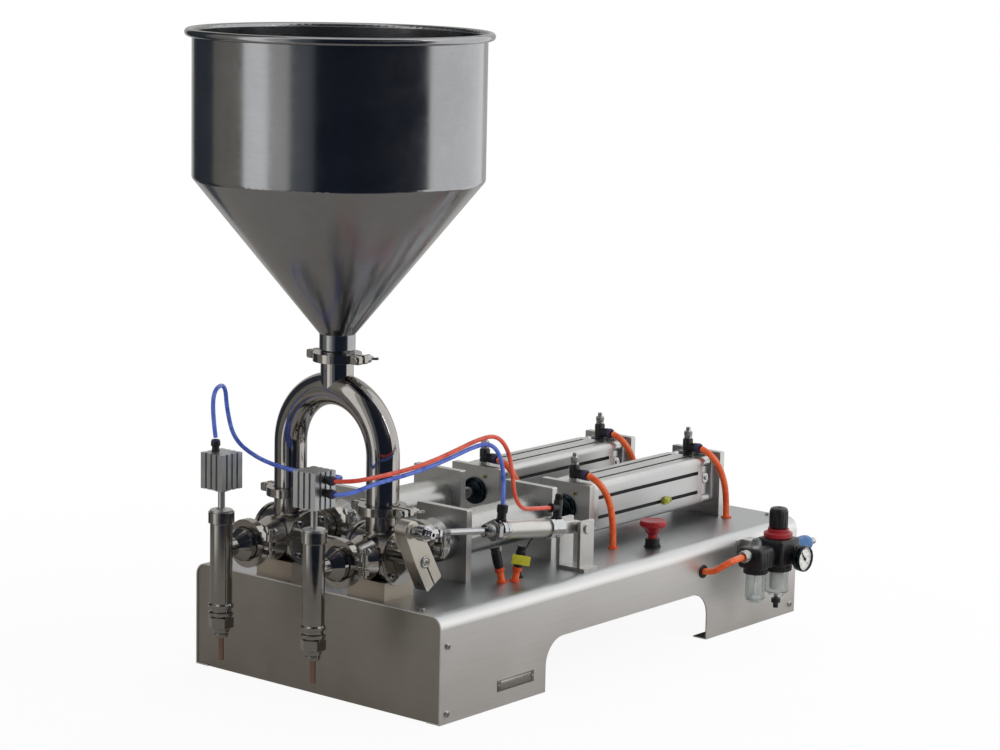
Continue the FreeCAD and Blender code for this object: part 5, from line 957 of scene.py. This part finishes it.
BUSH = [(5.1, -3), (6.5, -3), (6.5, 0), (8.5, 0), (8.5, 1.4), (7.8, 2), (5.6, 2.2), (5.1, 2)]
for x, y in ((148.5, 474), (149.5, 765), (-24.5, 474), (-23.5, 765), (164, 196), (172, 214)):
    fittings.turned(orange_plastic, BUSH, (x, y, DECK_Z), closed=True, steps=32)
fittings.turned(black_plastic, [(r - 3.8, z) for r, z in BUSH], (164, 236, DECK_Z), closed=True, steps=24)
fittings.turned(black_plastic, [(5.6, 2.2), (10, 2), (10, 0), (8, 0), (8, -2.2), (5.6, -2.2)][::-1],
    (231, 590, 108), "+x", 32, closed=True)
FROM_CAMERA = Vector((-math.sin(yaw), math.cos(yaw), 0))
for x, y, lean in ((164, 196, -13), (172, 214, 11)):
    fittings.frame = Matrix.Translation((x, y, DECK_Z)) @ Matrix.Rotation(math.radians(lean), 4, FROM_CAMERA)
    fittings.turned(orange_tube, drum(5, -9, 16), steps=28)
    fittings.turned(orange_plastic, [(0, 15), (6.6, 15), (7, 16), (7, 21), (0, 21)], steps=28)
    fittings.turned(black_plastic, [(0, 20), (5.8, 20), (6.6, 24), (7, 30), (7, 45), (6.2, 46), (6.2, 48),
        (7, 49), (7, 51.5), (5, 52), (0, 52)], steps=32)
tag_turn = Matrix.Rotation(yaw, 4, "Z") @ Matrix.Rotation(math.radians(8), 4, "Y")
fittings.frame = Matrix.Translation((176, 208, 183)) @ tag_turn
fittings.block(yellow_tag, (-4, -0.6, -7), (22, 0.6, 7), 0.5)
fittings.frame = Matrix.Identity(4)
fittings.done("Tube_fittings", "machine", "tube_fittings", slot="fitting")

# %% [markdown]
# Air preparation hangs on the right side: a regulator with a red locking ring and a ribbed
# knob, and a smaller lubricator beside it. Both skirts are ribbed for the hand that unscrews
# the bowl, and the clear bowls show what is inside: a filter cup and a dip tube.
# %% Filter and regulator
FILTER_X, REGULATOR_Y, OILER_Y, INLET_Y = 275, 723, 665, 645
BASE_Z, TOP_Z, FLOW_Z = 104, 146, 130
unit = Shape()
unit.block(black_plastic, (FILTER_X - 25, REGULATOR_Y - 25, BASE_Z),
    (FILTER_X + 25, REGULATOR_Y + 25, TOP_Z), 5, 3)
unit.turned(black_plastic, [(16.5, -9), (21, -9), (22, -8), (22, 0), (16.5, 0)],
    (FILTER_X, REGULATOR_Y, BASE_Z), closed=True, steps=56)
unit.ribs(black_plastic, 26, 21.8, 2.0, 1.6, 7.0, (FILTER_X, REGULATOR_Y, BASE_Z - 4.5))
unit.block(black_plastic, (FILTER_X - 21, OILER_Y - 19, BASE_Z + 4),
    (FILTER_X + 21, OILER_Y + 19, TOP_Z - 6), 5, 3)
unit.turned(black_plastic, [(15.2, -4), (17.4, -4), (18, -3), (18, 5), (15.2, 5)],
    (FILTER_X, OILER_Y, BASE_Z), closed=True, steps=48)
unit.ribs(black_plastic, 22, 17.8, 1.8, 1.4, 6.0, (FILTER_X, OILER_Y, BASE_Z - 0.5))
unit.turned(clear_bowl, [(0, 0), (8, 0), (8, 8), *arc(0, 8, 8, 0, 88, 6), (0, 13)],
    (FILTER_X, OILER_Y, TOP_Z - 8), steps=32)
unit.turned(black_plastic, drum(14, -20, 87), (FILTER_X, OILER_Y, FLOW_Z - 6), "+y", 40)
for y, face in ((REGULATOR_Y, FILTER_X + 25), (OILER_Y, FILTER_X + 21)):
    for reach in (-14, -7, 0, 7, 14):
        unit.block(black_plastic, (face - 0.6, y + reach - 1, BASE_Z + 8),
            (face + 0.6, y + reach + 1, TOP_Z - 12), 0.4)
unit.turned(screw_steel, [(0, 0), (7, 0), (7, 3), (9, 4), (9, 14), (8, 16), (5, 16)],
    (FILTER_X, INLET_Y, FLOW_Z), "-y", 32)
unit.ribs(screw_steel, 24, 9.0, 1.0, 0.9, 9.0, (FILTER_X, INLET_Y - 9, FLOW_Z), "-y")
unit.block(plate_steel, (231, 673, 112), (234, 713, 142), 0.8)
unit.block(plate_steel, (234, 686, 112), (256, 700, 142), 0.8)
unit.done("Filter_body", "machine", "filter_body", slot="fitting")
inside = Shape()
inside.turned(seal_white, [(0, 66), (9, 66), (10, 68), (10, 92), (11, 94), (11, 103), (0, 103)],
    (FILTER_X, REGULATOR_Y, 0), steps=32)
inside.ribs(seal_white, 18, 10.2, 0.9, 0.8, 22.0, (FILTER_X, REGULATOR_Y, 80))
inside.turned(seal_white, drum(2, 60, 103), (FILTER_X, OILER_Y, 0), steps=16)
inside.turned(bowl_pale, [(0, 57.5), (6.4, 57.5), (8.6, 60), (8.8, 66), (0, 66)], (FILTER_X, OILER_Y, 0),
    steps=40)
inside.done("Bowl_insides", "machine", slot="bowl")
grip = Shape()
grip.turned(black_plastic, [(8.6, 160.4), (13.4, 160.4), (13.8, 161), (13.8, 187.6), (12.6, 190.6),
    (10, 191.8), (4, 192), (3.4, 191.2), (0, 191.2), (0, 169), (8.6, 169)], (FILTER_X, REGULATOR_Y, 0),
    steps=48)
grip.ribs(black_plastic, 16, 13.7, 2.4, 1.4, 24.0, (FILTER_X, REGULATOR_Y, 174.5))
grip.done("Regulator_knob", "regulator_knob", "regulator_knob", slot="fitting")

# %% [markdown]
# The pressure gauge is read from the right side: a black case, a rolled steel rim, a white dial
# with black marks and plain numbers, and a clear window. Its needle is the frame's own piece.
# %% Pressure gauge
GAUGE = (300, 734, 117)
gauge = Shape()
gauge.turned(black_plastic, [(0, 0), (5, 0), (5, 6), (17, 6), (19, 7.4), (19.4, 9), (19.4, 14), (0, 14)],
    GAUGE, "+x", 56)
gauge.turned(gland_dark, [(17.8, 14), (19.6, 13), (20, 14), (20, 18.6), (19.2, 20), (18, 20), (17.8, 18)],
    GAUGE, "+x", 56, closed=True)
gauge.turned(dial_white, drum(18, 14, 16.6), GAUGE, "+x", 56)
START, SWEEP = math.radians(225), math.radians(-270)
face_up = Matrix(((0, 0, 1, 0), (1, 0, 0, 0), (0, 1, 0, 0), (0, 0, 0, 1)))
marks = grow("DialMarks", count=31, radius=15.0, first=START, sweep=SWEEP, length=1.6, width=0.45, every=5,
    finish=print_black_and_recess_shade)
marks.transform(face_up)
gauge.absorb(marks, (GAUGE[0] + 16.6, GAUGE[1], GAUGE[2]))


def flat_text(words, height, place):
    """Plain figures as a thin mesh in millimetres, upright in the dial's own plane."""
    curve = bpy.data.curves.new("Figure" + words, "FONT")
    curve.body = words
    curve.size = height
    curve.align_x, curve.align_y = "CENTER", "CENTER"
    curve.extrude = 0.08
    curve.materials.append(print_black_and_recess_shade)
    text = new_object("Figure" + words, curve)
    mesh = bpy.data.meshes.new_from_object(text.evaluated_get(bpy.context.evaluated_depsgraph_get()))
    bpy.data.objects.remove(text)
    mesh.transform(Matrix.Translation(place))
    return mesh


for step in range(0, 11, 2):
    turn = START + SWEEP * step / 10
    figure = flat_text(str(step), 3.6, (10.6 * math.cos(turn), 10.6 * math.sin(turn), 0))
    figure.transform(face_up)
    gauge.absorb(figure, (GAUGE[0] + 16.7, GAUGE[1], GAUGE[2]))
gauge.done("Pressure_gauge", "machine", "gauge", slot="gauge")

# %% [markdown]
# The coupling behind the regulator is a quick one: a blue ribbed sleeve over a steel body.
# %% Air coupling
COUPLING = (FILTER_X, 752, FLOW_Z - 6)
coupling = Shape()
coupling.turned(screw_steel, drum(9, 0, 16), COUPLING, "+y", 40)
coupling.turned(blue_plastic, [(9, 15), (11, 16), (12, 18), (12, 48), (11.4, 51), (10, 54), (6.6, 54)],
    COUPLING, "+y", 48)
coupling.ribs(blue_plastic, 30, 11.8, 1.2, 1.0, 22.0, (COUPLING[0], COUPLING[1] + 34, COUPLING[2]), "+y")
coupling.turned(rod_chrome, [(3, 40), (6.5, 40), (6.5, 57), (5, 59), (5, 61), (4.3, 62), (4.3, 64.5),
    (5, 65.5), (5, 70), (3, 70)], COUPLING, "+y", 32, closed=True)
coupling.done("Air_coupling", "machine", "air_coupling", slot="coupling")

# %% [markdown]
# A small switch clips into the right cylinder's slot and sets the stroke. It is a bright green
# moulding with a screw and a lens.
# %% Stroke switch
switch = Shape()
switch.block(switch_green, (118.5, 631, 189), (125, 649, 197), 0.5)
switch.block(switch_green, (124.2, 631, 187), (128.4, 643, 199), 1.8, 3)
switch.block(switch_green, (124.2, 641, 189), (127.2, 650, 196), 1.2, 3)
switch.turned(switch_green, [(0, 0), (3.8, 0), (3.8, 1.8), (2.8, 3), (0, 3)], (127.4, 636, 194.5), "+x", 28)
switch.turned(clear_bowl, [(0, 0), (2, 0), (2, 1.4), (1.2, 2.2), (0, 2.2)], (126.8, 646, 192.5), "+x", 20)
switch.done("Stroke_switch", "machine", "stroke_sensor", slot="sensor")

# %% [markdown]
# A small bare plate is riveted low on the right side, near the front. It carries no lettering.
# %% Bare plate
plate = Shape()
plate.block(plate_blank, (230.9, 107, 22), (231.6, 187, 38.5), 0.25)
plate.block(plate_field, (231.5, 114, 24.5), (231.8, 180, 36), 0.1)
plate.screws(rod_chrome, screw_steel, [((231.5, 110.5, 30.2), (1, 0, 0)),
    ((231.5, 183.5, 30.2), (1, 0, 0))], 1.7, 0.9, 0.5, 12)
plate.done("Bare_plate", "machine", slot="casing")

# %% [markdown]
# The machine stands on a plain pale floor in front of nothing. The floor is matt, and part of
# what the camera sees of it is its own white, so that it fades into the background and keeps
# a soft shadow. In mirrors it is the warm brown of a workshop floor, which gives polished steel
# its tan undersides. The world is white to the camera and in mirrors, and dimmer as a lamp.
# %% Floor and world
def floor_finish():
    material, wiring, shader, place, marks = start_material("FloorPale", 1.5)
    wiring.feed(shader, {"Base Color": wiring.mix(marks, rgb("efefee"), rgb("f4f4f3")), "Roughness": 0.8})
    ray = wiring.add("LightPath").outputs
    far = wiring.add("VectorMath", {0: place}, operation="LENGTH").outputs["Value"]
    white_share = wiring.ramp(far, 0.5, 1.5, 0.93, 1.0)
    glow = wiring.add("Emission", {"Color": (1, 1, 1, 1), "Strength": 1.0})
    warm = wiring.add("Emission", {"Color": rgb("7d766e"), "Strength": 1.0})
    seen = wiring.math("MAXIMUM", ray["Is Camera Ray"], ray["Is Transmission Ray"])
    pale = wiring.add("MixShader", {0: wiring.times(seen, white_share), 1: shader, 2: glow})
    both = wiring.add("MixShader", {0: wiring.times(ray["Is Glossy Ray"], 0.8), 1: pale, 2: warm})
    wiring.feed(material.node_tree.nodes["Material Output"], {0: both})
    return material


def flat_panel(name, corners, material):
    mesh = bpy.data.meshes.new(name)
    mesh.from_pydata([Vector(c) for c in corners], [], [tuple(range(len(corners)))])
    mesh.materials.append(material)
    panel = new_object(name, mesh)
    return panel


FLOOR_HALF = 14
corners = [(x * FLOOR_HALF, y * FLOOR_HALF, 0) for x, y in ((-1, -1), (1, -1), (1, 1), (-1, 1))]
flat_panel("Floor", corners, floor_finish())
world = bpy.data.worlds.new("World")
world.use_nodes = True
bpy.context.scene.world = world
wiring = Wiring(world.node_tree)
ray = wiring.add("LightPath").outputs
mirrored = wiring.math("MAXIMUM", ray["Is Glossy Ray"], ray["Is Transmission Ray"])
seen = wiring.math("MAXIMUM", ray["Is Camera Ray"], mirrored)
wiring.feed(world.node_tree.nodes["Background"], {"Color": (1, 1, 1, 1),
    "Strength": wiring.ramp(seen, 0, 1, 0.45, 1.0)})
print("floor and world ready")

# %% [markdown]
# Polished steel has no colour of its own to speak of: it shows what stands round it. A
# photographer hangs cloths round a metal object, out of the picture, and their dark and pale
# stripes give a round hopper its shape. A spot on a drum mirrors twice the turn of its own
# direction, so the edges of the cloths follow from where the stripes lie in the picture.
# These cloths are seen only in mirrors and cast no shadow, so they stay out of every view.
# %% Cloths
def cloth_finish(name, dark, light, glow=1.0):
    material, wiring, shader, place, marks = start_material(name, 2.0)
    wiring.feed(shader, {"Base Color": rgb("000000"),
        "Emission Color": wiring.mix(marks, rgb(dark), rgb(light)), "Emission Strength": glow,
        "Roughness": 0.9})
    return material


navy_cloth = cloth_finish("NavyCloth", "0b1322", "131d31")
slate_cloth = cloth_finish("SlateCloth", "262d35", "353d46")
grey_cloth = cloth_finish("GreyCloth", "54585e", "64686e")
brown_cloth = cloth_finish("BrownCloth", "6f6b65", "86827b")
pale_cloth = cloth_finish("PaleCloth", "b4b3b0", "c4c3c0")
white_cloth = cloth_finish("WhiteCloth", "eeeeed", "f8f8f7", 1.2)
CLOTH_TOP, CLOTH_REACH, MIDDLE = 4.0, 1.3, Vector((0, 0.3, 0))


def cloth(name, material, first, last):
    """An upright cloth round the object. Angles are in degrees from +X towards +Y."""
    turns = [math.radians(angle) for angle in (first, last)]
    low = [Vector((math.cos(turn), math.sin(turn), 0)) * CLOTH_REACH + MIDDLE for turn in turns]
    high = [foot + Vector((0, 0, CLOTH_TOP)) for foot in reversed(low)]
    panel = flat_panel(name, low + high, material)
    for way in ("camera", "diffuse", "transmission", "shadow", "volume_scatter"):
        setattr(panel, "visible_" + way, False)


cloth("Cloth_far_left", slate_cloth, -185, -143)
cloth("Cloth_left", brown_cloth, -143, -114)
cloth("Cloth_slit", white_cloth, -114, -97)
cloth("Cloth_slit_edge", pale_cloth, -97, -84)
cloth("Cloth_front", grey_cloth, -84, -70)
cloth("Cloth_right", navy_cloth, -70, 8)
cloth("Cloth_window", white_cloth, 10, 95)
cloth("Cloth_back", pale_cloth, 95, 175)
print("eight cloths")

# %% [markdown]
# Three large soft lamps are enough. The key stands on the right and high, so that the side of
# the casing is its brightest face, as in the picture; a fill on the left opens the shadows,
# and a lamp from behind draws light edges along the cylinders.
# %% Lamps
def soft_lamp(name, place, aim, size, power):
    data = bpy.data.lights.new(name, "AREA")
    data.shape = "RECTANGLE"
    data.size, data.size_y = size
    data.energy = power
    lamp = new_object(name, data)
    lamp.location = place
    lamp.rotation_euler = (Vector(aim) - Vector(place)).to_track_quat("-Z", "Y").to_euler()


soft_lamp("Key", (3.4, 0.6, 2.6), (0.1, 0.3, 0.2), (1.8, 1.8), 62)
soft_lamp("Fill", (-2.6, -2.4, 2.2), (0, 0.2, 0.4), (2.0, 2.0), 28)
soft_lamp("Back", (-1.2, 3.4, 2.6), (0, 0.4, 0.3), (2.4, 1.0), 40)
print("three lamps")
